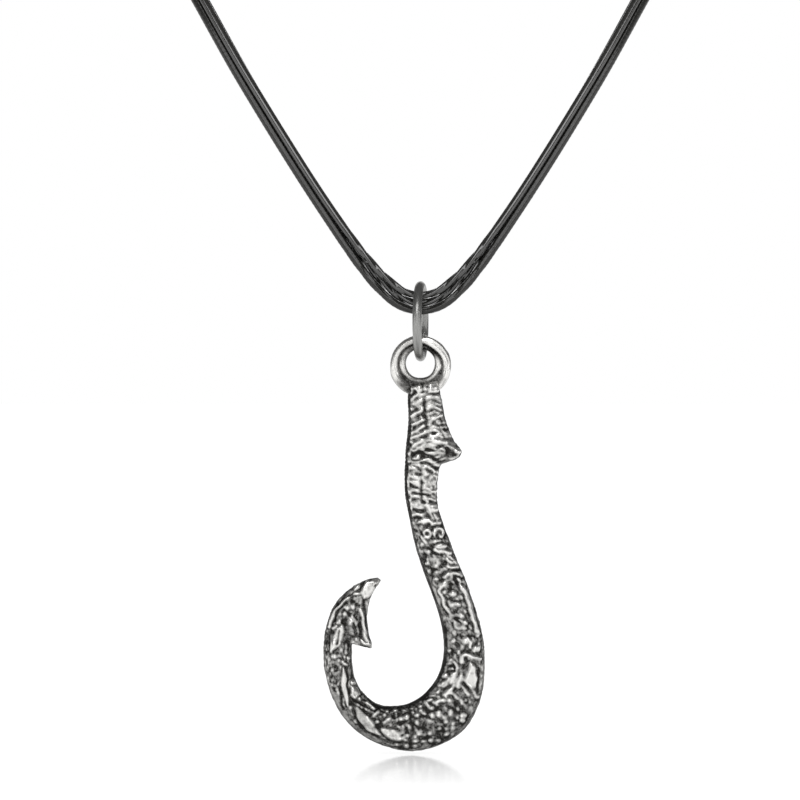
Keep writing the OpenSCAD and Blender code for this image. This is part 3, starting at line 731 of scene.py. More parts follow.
def facet_reach(places, corners):
    """Depth of each place inside a facet, negative outside it."""
    corners = np.asarray(corners, float)
    away = np.full(len(places), np.inf)
    inside = np.zeros(len(places), bool)
    for a, b in zip(corners, np.roll(corners, -1, axis=0)):
        t = np.clip((places - a) @ (b - a) / ((b - a) @ (b - a)), 0, 1)
        away = np.minimum(away, np.linalg.norm(places - a - t[:, None] * (b - a), axis=1))
        crossing = (a[1] > places[:, 1]) != (b[1] > places[:, 1])
        rise = b[1] - a[1] if b[1] != a[1] else 1e-9
        inside ^= crossing & (places[:, 0] < (b[0] - a[0]) * (places[:, 1] - a[1]) / rise + a[0])
    return np.where(inside, away, -away)


# Widths on the relief's grid: the sunk moat round each form, and the slopes of the fields'
# and facets' edges
MOAT = 1.9
FIELD_EDGE = 1.5
FACET_EDGE = 0.9
# Relief values: foot of a ridge, foot and rise of a facet, mouth of a groove and its full
# depth, and the share of the ground's height that is left beside a form
RIDGE_FOOT = 0.34
FACET_FOOT, FACET_RISE = 0.4, 0.55
GROOVE_MOUTH, GROOVE_DEPTH = 0.2, 0.35
MOAT_LEVEL = 0.6
# Shares of a field's own height and of its ground that show
FIELD_SHARE, FIELD_GROUND = 0.65, 0.4
# How much wider the polished forms are than drawn, [strokes, swell, whether they taper]
STROKES = [[LASHING, 1.15, False], [RIDGES, 1.25, False], [LEAVES, 1.2, True]]
SWELL = 1.08
CROWN_FLATNESS = 0.85
# A leaf is cut off at LEAF_TIP of its length, and is fuller and flatter than a ridge
LEAF_TIP = 0.04
LEAF_FULLNESS = 0.7
LEAF_TOP = 1.25
GROOVE_BANK = 0.9


def dome(x):
    """Round ridge, 1 in the middle and 0 from 1 outwards."""
    return np.clip(1 - x * x, 0, 1) ** CROWN_FLATNESS


def raised(crown, rise):
    """Relief value of a form from its crown, which is 1 in the middle and 0 outside."""
    return np.where(crown > 0, RIDGE_FOOT + (rise - RIDGE_FOOT) * crown, 0)


class Relief:
    """Relief values over a set of places, 0 in the grooves and 1 on the crests."""

    def __init__(self, places):
        self.places = places
        self.value = np.zeros(len(places))
        self.clear = np.full(len(places), np.inf)

    def near(self, points, reach):
        """Places within reach of the points or in the moat beyond it."""
        points = np.asarray(points, float)
        margin = reach + MOAT + 1
        low, high = points.min(0) - margin, points.max(0) + margin
        return np.flatnonzero(np.all((self.places > low) & (self.places < high), axis=1))

    def raise_to(self, picked, height, outside):
        """Raises the picked places and notes how far they lie outside the form."""
        self.value[picked] = np.maximum(self.value[picked], height)
        self.clear[picked] = np.minimum(self.clear[picked], outside)


def add_strokes(relief, rows, swell, tapers):
    """Raises strokes, either of one width or tapering to both ends as leaves do."""
    for half_width, rise, *points in rows:
        half_width *= swell
        picked = relief.near(points, half_width)
        away, along = stroke_reach(relief.places[picked], points)
        if tapers:
            body = np.sin(np.pi * np.clip(along, LEAF_TIP, 1 - LEAF_TIP))
            half_width = half_width * body ** LEAF_FULLNESS
        crown = dome(away / half_width)
        if tapers:
            crown = np.minimum(1, LEAF_TOP * crown)
        relief.raise_to(picked, raised(crown, rise), away - half_width)


def carve(places, ground):
    """All the drawn relief over its ground."""
    for height, *corners in FIELDS:
        inside = smooth_step(facet_reach(places, corners), -FIELD_EDGE, FIELD_EDGE)
        field = FIELD_SHARE * height + FIELD_GROUND * ground
        ground = ground * (1 - inside) + field * inside
    relief = Relief(places)
    for rows, swell, tapers in STROKES:
        add_strokes(relief, rows, swell, tapers)
    for right, up, radius, half_width, rise in RINGLETS:
        picked = relief.near([(right, up)], radius + half_width)
        away = abs(np.linalg.norm(places[picked] - (right, up), axis=1) - radius)
        relief.raise_to(picked, raised(dome(away / half_width), rise), away - half_width)
    for right, up, half_width, half_height, rise in PEBBLES:
        half_sizes = (half_width, half_height)
        picked = relief.near([(right, up)], max(half_sizes))
        away = np.linalg.norm((places[picked] - (right, up)) / half_sizes, axis=1) / SWELL
        relief.raise_to(picked, raised(dome(away), rise), (away - 1) * min(half_sizes))
    for corners in FACETS:
        picked = relief.near(corners, 0)
        depth = facet_reach(places[picked], corners) + FACET_EDGE
        slope = smooth_step(depth, 0, 2 * FACET_EDGE)
        height = np.where(depth > 0, FACET_FOOT + FACET_RISE * slope, 0)
        relief.raise_to(picked, height, -depth)
    open_ground = smooth_step(relief.clear, 0, MOAT)
    level = MOAT_LEVEL + (1 - MOAT_LEVEL) * open_ground
    value = np.maximum(relief.value, ground * level)
    for half_width, depth, *points in GROOVES:
        picked = relief.near(points, half_width)
        away, _ = stroke_reach(places[picked], points)
        cut = smooth_step(1 - away / (half_width * SWELL), 0, GROOVE_BANK)
        bed = GROOVE_MOUTH - GROOVE_DEPTH * depth
        value[picked] = value[picked] * (1 - cut) + bed * cut
    return value


def softened(values):
    """Values of a grid, each mixed with its neighbours."""
    rows = np.pad(values, ((1, 1), (0, 0)), mode="edge")
    values = (rows[:-2] + 2 * values + rows[2:]) / 4
    return (np.roll(values, 1, axis=1) + 2 * values + np.roll(values, -1, axis=1)) / 4


def blurred(values, reach):
    """Values of a grid averaged over its neighbours, round the second axis."""
    kernel = np.ones(2 * reach + 1) / (2 * reach + 1)
    rows = np.pad(values, ((reach, reach), (0, 0)), mode="edge")
    rows = np.apply_along_axis(np.convolve, 0, rows, kernel, mode="valid")
    cols = np.pad(rows, ((0, 0), (reach, reach)), mode="wrap")
    return np.apply_along_axis(np.convolve, 1, cols, kernel, mode="valid")


def grid_normals(rings):
    """Outward normals of a tube of rings."""
    along = np.gradient(rings, axis=0)
    round_about = np.roll(rings, -1, axis=1) - np.roll(rings, 1, axis=1)
    normals = np.cross(round_about, along)
    normals /= np.linalg.norm(normals, axis=2, keepdims=True) + 1e-12
    middle = rings.mean(axis=1, keepdims=True)
    outward = np.sign(np.sum((rings - middle) * normals, axis=(1, 2)))
    return normals * np.where(outward.sum() < 0, -1, 1)


def skin(name, rings, closed=False, values=None):
    """Mesh object through rings of points in millimetres, capped unless closed.
    Its map counts millimetres, and values holds named numbers for the points."""
    rings = np.asarray(rings, float)
    m, n = rings.shape[:2]
    rows = np.arange(m if closed else m - 1)
    j, k = np.meshgrid(rows, np.arange(n), indexing="ij")
    j2, k2 = (j + 1) % m, (k + 1) % n
    faces = np.stack([j * n + k, j * n + k2, j2 * n + k2, j2 * n + k], axis=-1).reshape(-1, 4)
    span = np.linalg.norm(np.diff(rings, axis=0, append=rings[:1]), axis=2).mean(axis=1)
    run = np.concatenate([[0], np.cumsum(span)])
    girth = np.linalg.norm(rings - np.roll(rings, -1, axis=1), axis=2).sum(axis=1).mean()
    turn = np.arange(n + 1) * girth / n
    maps = np.stack([
        np.stack([turn[k], run[j]], -1), np.stack([turn[k + 1], run[j]], -1),
        np.stack([turn[k + 1], run[j + 1]], -1), np.stack([turn[k], run[j + 1]], -1)], axis=2)
    faces = faces.tolist()
    caps = [] if closed else [list(range(n))[::-1], list(range((m - 1) * n, m * n))]
    mesh = bpy.data.meshes.new(name)
    mesh.from_pydata((rings.reshape(-1, 3) * MM).tolist(), [], faces + caps)
    layer = mesh.uv_layers.new(name="wrap")
    flat = np.concatenate([maps.reshape(-1, 2), np.zeros((n * len(caps), 2))])
    layer.data.foreach_set("uv", flat.ravel())
    for title, numbers in (values or {}).items():
        attribute = mesh.attributes.new(title, "FLOAT", "POINT")
        attribute.data.foreach_set("value", np.asarray(numbers, np.float32).ravel())
    mesh.polygons.foreach_set("use_smooth", [True] * len(faces) + [False] * len(caps))
    mesh.update()
    mesh.validate()
    made = bpy.data.objects.new(name, mesh)
    bpy.context.scene.collection.objects.link(made)
    return made


def fit_out(piece, material, body, slot, *nodes):
    """Gives a piece its material and its body, and hides the nodes that it stands for; slot is
    not used.
    """
    piece.data.materials.clear()
    piece.data.materials.append(material)
    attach(piece, body)
    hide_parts(*nodes)


def face_outward(piece):
    """Turns the faces of a closed mesh outwards."""
    bpy.ops.object.select_all(action="DESELECT")
    bpy.context.view_layer.objects.active = piece
    piece.select_set(True)
    bpy.ops.object.mode_set(mode="EDIT")
    bpy.ops.mesh.select_all(action="SELECT")
    bpy.ops.mesh.normals_make_consistent(inside=False)
    bpy.ops.object.mode_set(mode="OBJECT")


LIMB_STEP = 0.12
LIMB_SIDES = 140
LIMB_ANGLES = 2 * np.pi * (np.arange(LIMB_SIDES) + 0.5) / LIMB_SIDES
LIMB_SEED = 7
# Below 1, the limb's section is squarer than an ellipse
SQUARENESS = 0.86

# Waves of the uneven casting in millimetres from crest to crest: they shift the drawing,
# sway the turns of the lashing, and mottle the ground coarsely and finely
DRIFT_WAVE, SWAY_WAVE, MOTTLE_WAVE, GRAIN_WAVE = 0.8, 1.6, 0.9, 0.4
# The drawing's shift, in grid steps
DRIFT = 2.2
# Heights on the relief's grid between which the lashing ends, its lower turns thicken and
# the bend begins
LASHING_END = [-152, -140]
THICK_TURNS = [-100, -92]
BEND_TOP = [-346, -322]
# Turns of the lashing, [pitch in grid steps, sway in turns, grid steps across for one turn]
COARSE_TURNS = [6.8, 1.6, 30]
FINE_TURNS = [3.9, 1.3, -26]

# Relief values of the ground, and of what stands on it
GROUND = 0.24
STONE_RISE = 0.44
MOTTLE_RISE, MOTTLE_LEVEL = 0.2, 0.6
WOUND_RISE, TURN_RISE, THICK_RISE = 0.2, 0.34, 0.2
GRAIN_RISE, FINE_TURN_RISE = 0.14, 0.16
# Losses of the ground and of all relief at the bend, and of contrast everywhere and more
# under the lashing
BEND_GROUND_LOSS, BEND_LOSS = 0.04, 0.17
EVEN_CAST, EVEN_LASHED = 0.05, 0.1

# The limb's edges: shares of its length between which the barb begins, how far round the
# inner side begins, and how squarely a point faces front where the edge's tone begins
BARB_SHARES = [0.7, 0.74]
INNER_SIDE = [0.3, 0.7]
EDGE_FACING = [0.36, 0.6]
INNER_WIDER = 0.2
# Tones of the edges, which are painted shade on the sides that turn from the front, and how
# strongly they cover the relief
OUTER_TONE, OUTER_LASHED, OUTER_STONES, INNER_TONE = 0.42, 0.2, 0.2, 0.08
OUTER_COVER, INNER_COVER = 0.65, 0.3

# Millimetres over which the relief runs out at the eye and at the point, and from the
# hole's middle between which the limb dips under the bead
EYE_RUN, POINT_RUN = 1, 1.2
BEAD_DIP = [2.35, 2.75]
# The buffing reaches the crests, and less the hollows: rings that a hollow is compared
# with, its weight, and the lowest value that shines
HOLLOW_REACH = 5
HOLLOW_WEIGHT = 1.1
BUFFED_FROM = 0.1
# Painted shade: how much darker the sides that turn from the front are made, and more so on the
# inner side
EDGE_SHADE, INNER_EDGE_SHADE = 0.3, 0.4


def squared(x):
    """Cosine or sine of a section that is squarer than an ellipse."""
    return np.sign(x) * abs(x) ** SQUARENESS


def limb_rings(hook, eye_mid_r, drop):
    """Smooth rings of the hook's limb from the eye to the point, without relief."""
    table = np.array(SECTIONS)
    table[:, [0, 2]] *= hook.width / MM
    table[:, [1, 3]] = -eye_mid_r - table[:, [1, 3]] * drop
    table[:, 4] *= hook.thickness / MM
    middles = (table[:, 0:2] + table[:, 2:4]) / 2
    ribs = curve_through(table, even_places(middles, LIMB_STEP))
    middle, half = (ribs[:, 0:2] + ribs[:, 2:4]) / 2, (ribs[:, 0:2] - ribs[:, 2:4]) / 2
    across, depth = squared(np.cos(LIMB_ANGLES)), squared(np.sin(LIMB_ANGLES))
    return np.stack([
        middle[:, 0:1] + half[:, 0:1] * across, ribs[:, 4:5] / 2 * depth,
        middle[:, 1:2] + half[:, 1:2] * across], axis=-1)


def turns_of_cord(places, sway, pitch, sway_turns, slant):
    """Turns of the lashing, 1 on each turn and 0 between two."""
    turn = places[:, 1] / pitch + sway * sway_turns + places[:, 0] / slant
    return 0.5 + 0.5 * np.sin(2 * np.pi * turn)


def limb_edges(normals):
    """Whether each point lies on the inner edge before the barb, and on any edge, 0 to 1."""
    before_barb = 1 - smooth_step(np.linspace(0, 1, len(normals)), *BARB_SHARES)
    inner = before_barb[:, None] * smooth_step(-np.cos(LIMB_ANGLES), *INNER_SIDE)
    low, high = (limit + INNER_WIDER * inner for limit in EDGE_FACING)
    edge = 1 - smooth_step(abs(normals[:, :, 1]), low, high)
    return inner, edge


def limb_relief(hook, flat, inner, edge):
    """Relief value of each point of the limb."""
    drift = np.stack([wavering(flat / DRIFT_WAVE, LIMB_SEED + k) for k in (2, 3)], axis=-1)
    places = flat[:, [0, 2]] / RELIEF_STEP + DRIFT * (drift - 0.5)
    lashed = smooth_step(places[:, 1], *LASHING_END)
    bend = 1 - smooth_step(places[:, 1], *BEND_TOP)

    stones = pebbled(flat / (hook.pebble / MM))
    mottle = wavering(flat / MOTTLE_WAVE, LIMB_SEED + 4)
    sway = wavering(flat / SWAY_WAVE, LIMB_SEED)
    stony = STONE_RISE * stones + MOTTLE_RISE * (mottle - MOTTLE_LEVEL)
    wound = WOUND_RISE + TURN_RISE * turns_of_cord(places, sway, *COARSE_TURNS)
    ground = GROUND + stony * (1 - lashed) + wound * lashed
    ground += THICK_RISE * lashed * (1 - smooth_step(places[:, 1], *THICK_TURNS))
    ground *= 1 - BEND_GROUND_LOSS * bend
    value = carve(places, ground) * (1 - BEND_LOSS * bend)
    value += (EVEN_CAST + EVEN_LASHED * lashed) * (0.5 - value)

    # Painted shade: the inner edge down to the barb stays black, and the outer edge below the
    # lashing is grey
    outer = OUTER_TONE - OUTER_LASHED * lashed + OUTER_STONES * (stones - 0.5)
    tone = outer * (1 - inner) + INNER_TONE * inner
    value += (OUTER_COVER + INNER_COVER * inner) * edge * (tone - value)
    value += GRAIN_RISE * (wavering(flat / GRAIN_WAVE, LIMB_SEED + 1) - 0.5)
    fine = turns_of_cord(places, sway, *FINE_TURNS)
    return value + FINE_TURN_RISE * (fine - 0.5) * lashed


def limb(hook, eye_mid_r, drop):
    """The hook's limb with its relief."""
    rings = limb_rings(hook, eye_mid_r, drop)
    shape = rings.shape[:2]
    normals = grid_normals(rings)
    inner, edge = limb_edges(normals)
    value = limb_relief(hook, rings.reshape(-1, 3), inner.ravel(), edge.ravel())
    value = softened(value.reshape(shape))
    along = np.arange(shape[0])[:, None] * LIMB_STEP
    run_out = smooth_step(along, 0, EYE_RUN) * smooth_step(along[-1] - along, 0, POINT_RUN)
    rings = rings + normals * ((value - 0.5) * run_out * hook.relief / MM)[:, :, None]
    from_hole = np.hypot(rings[:, :, 0], rings[:, :, 2] - hook.eye_lift / MM)
    rings[:, :, 1] *= 0.5 + 0.5 * smooth_step(from_hole, *BEAD_DIP)
    hollow = value - blurred(value, HOLLOW_REACH)
    wear_and_shade = smooth_step(value + HOLLOW_WEIGHT * hollow, BUFFED_FROM, 1)
    # Painted shade darkens the sides that turn from the front
    wear_and_shade *= 1 - (EDGE_SHADE + INNER_EDGE_SHADE * inner) * edge
    return skin("hook_limb", rings, values={"wear_and_shade": wear_and_shade})


# The eye's face from the hole to the rim: a bead, a groove and a rounded rim
# [share of the band, share of the half-thickness, worn]
EYE_PROFILE = [
    [0, 0, 0.35], [0, 0.45, 0.4], [0.02, 0.66, 0.6], [0.08, 0.8, 0.9], [0.17, 0.86, 1],
    [0.25, 0.82, 0.9], [0.31, 0.74, 0.5], [0.35, 0.68, 0.22], [0.39, 0.7, 0.22],
    [0.44, 0.8, 0.55], [0.51, 0.91, 0.9], [0.6, 0.98, 1], [0.7, 1, 1], [0.8, 0.96, 1],
    [0.89, 0.85, 0.9], [0.96, 0.66, 0.6], [0.99, 0.4, 0.4], [1, 0.15, 0.35],
]
# Darker patches of the eye: the first three, at the hole's upper side where the jump ring hangs,
# are painted shadow of the ring, and the others are just darker
# [degrees round from the right, half-spread, share from the hole to the rim, half-spread, loss]
DARK_PATCHES = [
    [58, 42, 0.14, 0.26, 0.96],
    [112, 32, 0.2, 0.24, 0.8],
    [150, 26, 0.1, 0.24, 0.45],
    [118, 24, 0.75, 0.2, 0.35],
    [234, 25, 0.6, 0.38, 0.85],
    [268, 40, 0.12, 0.2, 0.7],
    [322, 20, 0.48, 0.24, 0.8],
]
EYE_SIDES = 144
# Shares of the band by which the groove lies further out at the sides, and further in at
# the upper right, with that place and its half-spread in radians
GROOVE_OUT, GROOVE_IN = 0.1, 0.16
UPPER_RIGHT, UPPER_SPREAD = 0.8, 0.62
# Shares of the band between which the lift of the hole fades out
LIFTED_BAND = [0.3, 0.62]
# The rim's fullness, where round the eye it lies, and its share of the band and half-spread
FULLNESS, FULL_AT = 0.22, 0.6
FULL_ROUND = [0.2, 0.9]
FULL_SHARE, FULL_SPREAD = 0.95, 0.08
# How deep the rim sinks into the shank, how much further round on the left, how low that
# begins, and the shares of the band between which it begins
SUNK, SUNK_LEFT = 0.45, 0.26
SUNK_LOW = [0.62, 0.9]
SUNK_BAND = [0.36, 0.5]
# Dents of the casting, [millimetres from crest to crest, seed, depth in millimetres]
DENTS = [[1.3, 21, 0.14], [0.5, 22, 0.05]]


def eye_angles():
    """Angles round the eye from the right, one row each."""
    return np.linspace(0, 2 * np.pi, EYE_SIDES, endpoint=False)[:, None]


def eye_rings(hook, loop):
    """Rings round the eye's band, and each point's share of the way to the rim."""
    rim, bore, lift, thick = (value / MM for value in (
        hook.eye_width / 2, hook.eye_bore / 2, hook.eye_lift, hook.eye_thickness / 2))
    angle = eye_angles()
    inward = np.exp(-((angle - UPPER_RIGHT) / UPPER_SPREAD) ** 2)
    shift = GROOVE_OUT * np.cos(angle) ** 2 - GROOVE_IN * inward
    share = loop[:, 0] + shift * np.sin(np.pi * loop[:, 0])
    radius = bore + share * (rim - bore)
    lifted = lift * (1 - smooth_step(loop[:, 0], *LIFTED_BAND))
    fuller = smooth_step(np.cos(angle - FULL_AT), *FULL_ROUND)
    fuller = fuller * np.exp(-((loop[:, 0] - FULL_SHARE) / FULL_SPREAD) ** 2)
    # The rim runs down into the shank, further round on the left
    low = smooth_step(SUNK_LEFT * np.cos(angle) - np.sin(angle), *SUNK_LOW)
    sunk = 1 - SUNK * low * smooth_step(loop[:, 0], *SUNK_BAND)
    rings = np.stack([
        radius * np.cos(angle), -loop[:, 1] * thick * sunk * (1 + FULLNESS * fuller),
        radius * np.sin(angle) + lifted], axis=-1)
    return rings, share


def eye(hook):
    """The eye: a rounded rim, a groove, and a bead round the hole."""
    steps = 2 * len(EYE_PROFILE)
    front = curve_through(EYE_PROFILE, np.linspace(0, len(EYE_PROFILE) - 1, steps))
    back = front[::-1] * [1, -1, 1]
    loop = np.concatenate([front, back[:-1]])
    rings, share = eye_rings(hook, loop)
    flat = rings.reshape(-1, 3)
    dents = sum((wavering(flat / wave, seed) - 0.5) * depth for wave, seed, depth in DENTS)
    normals = np.swapaxes(grid_normals(np.swapaxes(rings, 0, 1)), 0, 1)
    rings = rings + normals * dents.reshape(rings.shape[:2])[:, :, None]
    wear_and_shade = np.broadcast_to(loop[:, 2], share.shape)
    for degrees, half_spread, middle, half_width, loss in DARK_PATCHES:
        turned = np.degrees(np.abs(np.angle(np.exp(1j * (eye_angles() - math.radians(degrees))))))
        dark_patch = np.exp(-(turned / half_spread) ** 4 - ((share - middle) / half_width) ** 4)
        wear_and_shade = wear_and_shade * (1 - loss * dark_patch)
    return skin("hook_eye", rings, closed=True, values={"wear_and_shade": np.clip(wear_and_shade, 0, 1)})


# Air in millimetres between the jump ring and the hole's upper edge
EYE_PLAY = 0.12


class PENDANT_OT_hook(bpy.types.Operator):
    """Cast hook with its eye and relief"""
    bl_idname = "pendant.hook"
    bl_label = "Cast Hook"
    bl_options = {"REGISTER", "UNDO"}

    def execute(self, context):
        hook, ring = context.scene.pendant_hook, context.scene.pendant_ring
        eye_mid_r = (hook.eye_width + hook.eye_bore) / 4 / MM
        drop = (hook.height - hook.eye_width / 2) / MM - eye_mid_r
        piece, top = limb(hook, eye_mid_r, drop), eye(hook)
        face_outward(piece)
        face_outward(top)
        fuse = piece.modifiers.new("fuse", "BOOLEAN")
        fuse.operation, fuse.solver, fuse.object = "UNION", "MANIFOLD", top
        context.view_layer.objects.active = piece
        bpy.ops.object.modifier_apply(modifier=fuse.name)
        bpy.data.objects.remove(top)
        piece.name = "cast_hook"
        # The flat-walled hole rides up on the ring's curve by climb
        hole_r = ring.width / 2 / MM - ring.wire / MM
        climb = hole_r - math.sqrt(hole_r ** 2 - (hook.eye_thickness / 2 / MM) ** 2)
        eye_z = (ring.wire / 2 - hook.eye_bore / 2 - hook.eye_lift) / MM + climb + EYE_PLAY
        lean = Matrix.Rotation(hook.lean, 4, "Y")
        piece.data.transform(
            Matrix.Translation(RING_FOOT * MM) @ lean @ Matrix.Translation((0, 0, eye_z * MM)))
        piece.data.shade_smooth()
        fit_out(piece, antiqued_silver(hook), "pendant", "cast_silver", "hook")
        return {"FINISHED"}


RING_STEPS = 128
WIRE_SIDES = 28
# Where round the ring its wire is cut, the cut's gap in millimetres, and the share of the
# wire's radius that is left at the slightly rounded ends
CUT_AT = math.radians(118)
CUT_GAP = 0.03
CUT_END = 0.86


class PENDANT_OT_ring(bpy.types.Operator):
    """Jump ring of round wire, closed at a hairline joint"""
    bl_idname = "pendant.ring"
    bl_label = "Jump Ring"
    bl_options = {"REGISTER", "UNDO"}

    def execute(self, context):
        settings = context.scene.pendant_ring
        wire, radius = settings.wire / 2 / MM, (settings.width - settings.wire) / 2 / MM
        half_gap = CUT_GAP / radius / 2
        angle = np.linspace(CUT_AT + half_gap, CUT_AT + 2 * np.pi - half_gap, RING_STEPS)[:, None]
        turn = 2 * np.pi * np.arange(WIRE_SIDES) / WIRE_SIDES
        section = np.full((RING_STEPS, 1), wire)
        section[[0, -1]] *= CUT_END
        r = radius + section * np.cos(turn)
        side = section * np.sin(turn)
        rings = np.stack([
            side * np.cos(settings.turn) - r * np.sin(angle) * np.sin(settings.turn),
            side * np.sin(settings.turn) + r * np.sin(angle) * np.cos(settings.turn),
            r * np.cos(angle)], axis=-1)
        middle = np.array([RING_FOOT.x, FRONT.y, RING_FOOT.z + radius])
        piece = skin("jump_ring_wire", rings + middle)
        face_outward(piece)
        fit_out(piece, black_nickel(settings, *DRAWN_LINES), "ring", "gunmetal", "jump_ring")
        return {"FINISHED"}


# Right half of the cord's route as shares of the loop's width, depth and drop
# [out, forward, down]
HALF_ROUTE = [
    [0.188, 0.023, 0.01],
    [0.325, 0.095, 0.045],
    [0.432, 0.21, 0.103],
    [0.496, 0.371, 0.195],
    [0.5, 0.548, 0.322],
    [0.433, 0.69, 0.456],
    [0.333, 0.8, 0.586],
    [0.253, 0.876, 0.695],
    [0.181, 0.933, 0.803],
    [0.101, 0.974, 0.912],
    [0.042, 0.995, 0.98],
]
# Places of the strands round the route, in strand pitches:
# [[towards the back, upwards] along the neck, the same in the ring, braid's depth, crease,
# how far it is pressed oval, depth between its yarns at the ring, wax]
STRANDS = {
    "strand_upper": [[-0.289, 0.5], [-0.24, 0.886], 0.012, 0, 0.08, 0.36, 1],
    "strand_lower": [[-0.289, -0.5], [-0.24, -0.886], 0.05, 0.07, 0, 0.14, 0.3],
    "strand_back": [[0.6, 0.1], [0.29, 0], 0.02, 0, 0, 0.36, 0.9],
}
# The cord's end in the clasp and the clasp's mouth, in millimetres from its middle
CORD_END = 2.8
CORD_MOUTH = 7.5
# Distance from the ring over which the strands spread
SPREAD_REACH = 9
CORD_STEP = 0.24
CORD_SIDES = 30
# Share of a strand's pitch that it fills
FILLING = 0.985
# Angles round a strand from its back over its top: its crease, with the sway of that, the
# reach of one sway in millimetres and the half-spread, and the side that is pressed flat
CREASE_AT, CREASE_SWAY, CREASE_WAVE, CREASE_SPREAD = 2.62, 0.15, 3, 0.3
OVAL_AT, OVAL_TRIM = 3.38, 0.3
# The lay of the three yarns shows where the strands are bent at the ring
YARNS = 3
LAY_REACH = 11
LAY_LENGTH = 10


def cord_route(cord):
    """Points of the cord's route from the clasp's right socket to its left one."""
    size = [cord.loop_width / MM, FRONT.y, FRONT.z]
    straight = [[CORD_END, 0, 0], [CORD_MOUTH, 0, 0]]
    right = np.concatenate([straight, np.array(HALF_ROUTE) * size])
    return np.concatenate([right, [[0, FRONT.y, FRONT.z]], right[::-1] * [-1, 1, 1]])


def strand_section(cord, run, braid_depth, crease, oval, twist):
    """Radii round a strand at each run along it, and the height of its braid, 0 to 1."""
    angle = 2 * np.pi * np.arange(CORD_SIDES) / CORD_SIDES
    turn = 2 * np.pi * run / (cord.braid / MM)
    braid = np.cos(YARNS * angle + turn) * np.cos(YARNS * angle - turn)
    from_ring = abs(run - run[-1] / 2)
    bent = np.exp(-(from_ring / LAY_REACH) ** 4)
    lay = abs(np.cos(YARNS / 2 * (angle + 2 * np.pi * from_ring / LAY_LENGTH)))
    swayed = angle - CREASE_AT + CREASE_SWAY * np.sin(run / CREASE_WAVE)
    fold = crease * np.exp(-(swayed / CREASE_SPREAD) ** 2)
    pressed = oval * (np.cos(2 * (angle - OVAL_AT)) - OVAL_TRIM)
    radius = (cord.strand + cord.gap) / MM / 2 * (
        FILLING + braid_depth * (braid - 1) - twist * bent * (1 - lay) - fold + pressed)
    return radius, 0.5 + 0.5 * braid


def strand_rings(cord, near_neck, in_ring, *section):
    """Rings of one strand, and the height of its braid."""
    route = cord_route(cord)
    places = even_places(route, CORD_STEP)
    middle = curve_through(route, places)
    way = np.gradient(middle, axis=0)
    way /= np.linalg.norm(way, axis=1, keepdims=True)
    up = np.array([0, 0, 1]) - way[:, 2:3] * way
    up /= np.linalg.norm(up, axis=1, keepdims=True)
    back = np.cross(way, up)
    from_front = np.linalg.norm(middle - np.array(FRONT), axis=1)[:, None]
    spread = np.exp(-(from_front / SPREAD_REACH) ** 2)
    pitch = (cord.strand + cord.gap) / MM
    place = pitch * (np.array(near_neck) * (1 - spread) + np.array(in_ring) * spread)
    middle = middle + place[:, 0:1] * back + place[:, 1:2] * up
    radius, crest = strand_section(cord, np.arange(len(places))[:, None] * CORD_STEP, *section)
    angle = 2 * np.pi * np.arange(CORD_SIDES) / CORD_SIDES
    rings = (middle[:, None, :] + (radius * np.cos(angle))[:, :, None] * back[:, None, :]
             + (radius * np.sin(angle))[:, :, None] * up[:, None, :])
    return rings, crest


class PENDANT_OT_cord(bpy.types.Operator):
    """Three waxed strands round the neck"""
    bl_idname = "pendant.cord"
    bl_label = "Waxed Cord"
    bl_options = {"REGISTER", "UNDO"}

    def execute(self, context):
        cord = context.scene.pendant_cord
        for node, (*shape, wax) in STRANDS.items():
            rings, crest = strand_rings(cord, *shape)
            piece = skin("waxed_" + node, rings, values={"crest": crest})
            face_outward(piece)
            fit_out(piece, waxed_cotton(cord, wax), "necklace", "waxed_cord", node)
        return {"FINISHED"}


CLASP_SIDES = 72
# Steps between two corners of the turned outline
CLASP_STEPS = 4
# In millimetres: the socket's radius, the slopes of its mouth, the seam round the middle,
# and the groove near each end with its distance from the end, width, depth and slopes
SOCKET_R = 1.4
MOUTH_SLOPES = [[0.15, 0], [0.04, 0.05], [0, 0.2]]
SEAM_HALF, SEAM_DEPTH, SEAM_SLOPE_RUN = 0.07, 0.08, 0.1
BAND_FROM, BAND_WIDTH, BAND_DEPTH, BAND_SLOPE = 1.1, 0.38, 0.16, 0.12


def clasp_outline(clasp):
    """Turned outline of the barrel from its left socket to its right one, and its radius."""
    half, radius, socket, bevel = (value / MM for value in (
        clasp.length / 2, clasp.width / 2, clasp.socket, clasp.bevel))
    band = half - BAND_FROM
    band_end = band - BAND_WIDTH - BAND_SLOPE
    # Right half, [along, radius]
    right = np.array([
        [half - socket, 0.02], [half - socket, SOCKET_R * 0.98],
        [half - socket + 0.05, SOCKET_R],
        *[[half - back, SOCKET_R + out] for back, out in MOUTH_SLOPES],
        [half, radius - bevel], [half - bevel * 0.3, radius - bevel * 0.3],
        [half - bevel, radius],
        [band, radius], [band - BAND_SLOPE, radius - BAND_DEPTH],
        [band_end, radius - BAND_DEPTH], [band_end - BAND_SLOPE, radius],
        [SEAM_HALF + SEAM_SLOPE_RUN, radius], [SEAM_HALF, radius - SEAM_DEPTH],
        [0, radius - SEAM_DEPTH],
    ])
    corners = np.concatenate([right, right[::-1][1:] * [-1, 1]])
    steps = np.linspace(0, 1, CLASP_STEPS, endpoint=False)[:, None]
    runs = [a + (b - a) * steps for a, b in zip(corners[:-1], corners[1:])]
    return np.concatenate([*runs, corners[-1:]]), radius


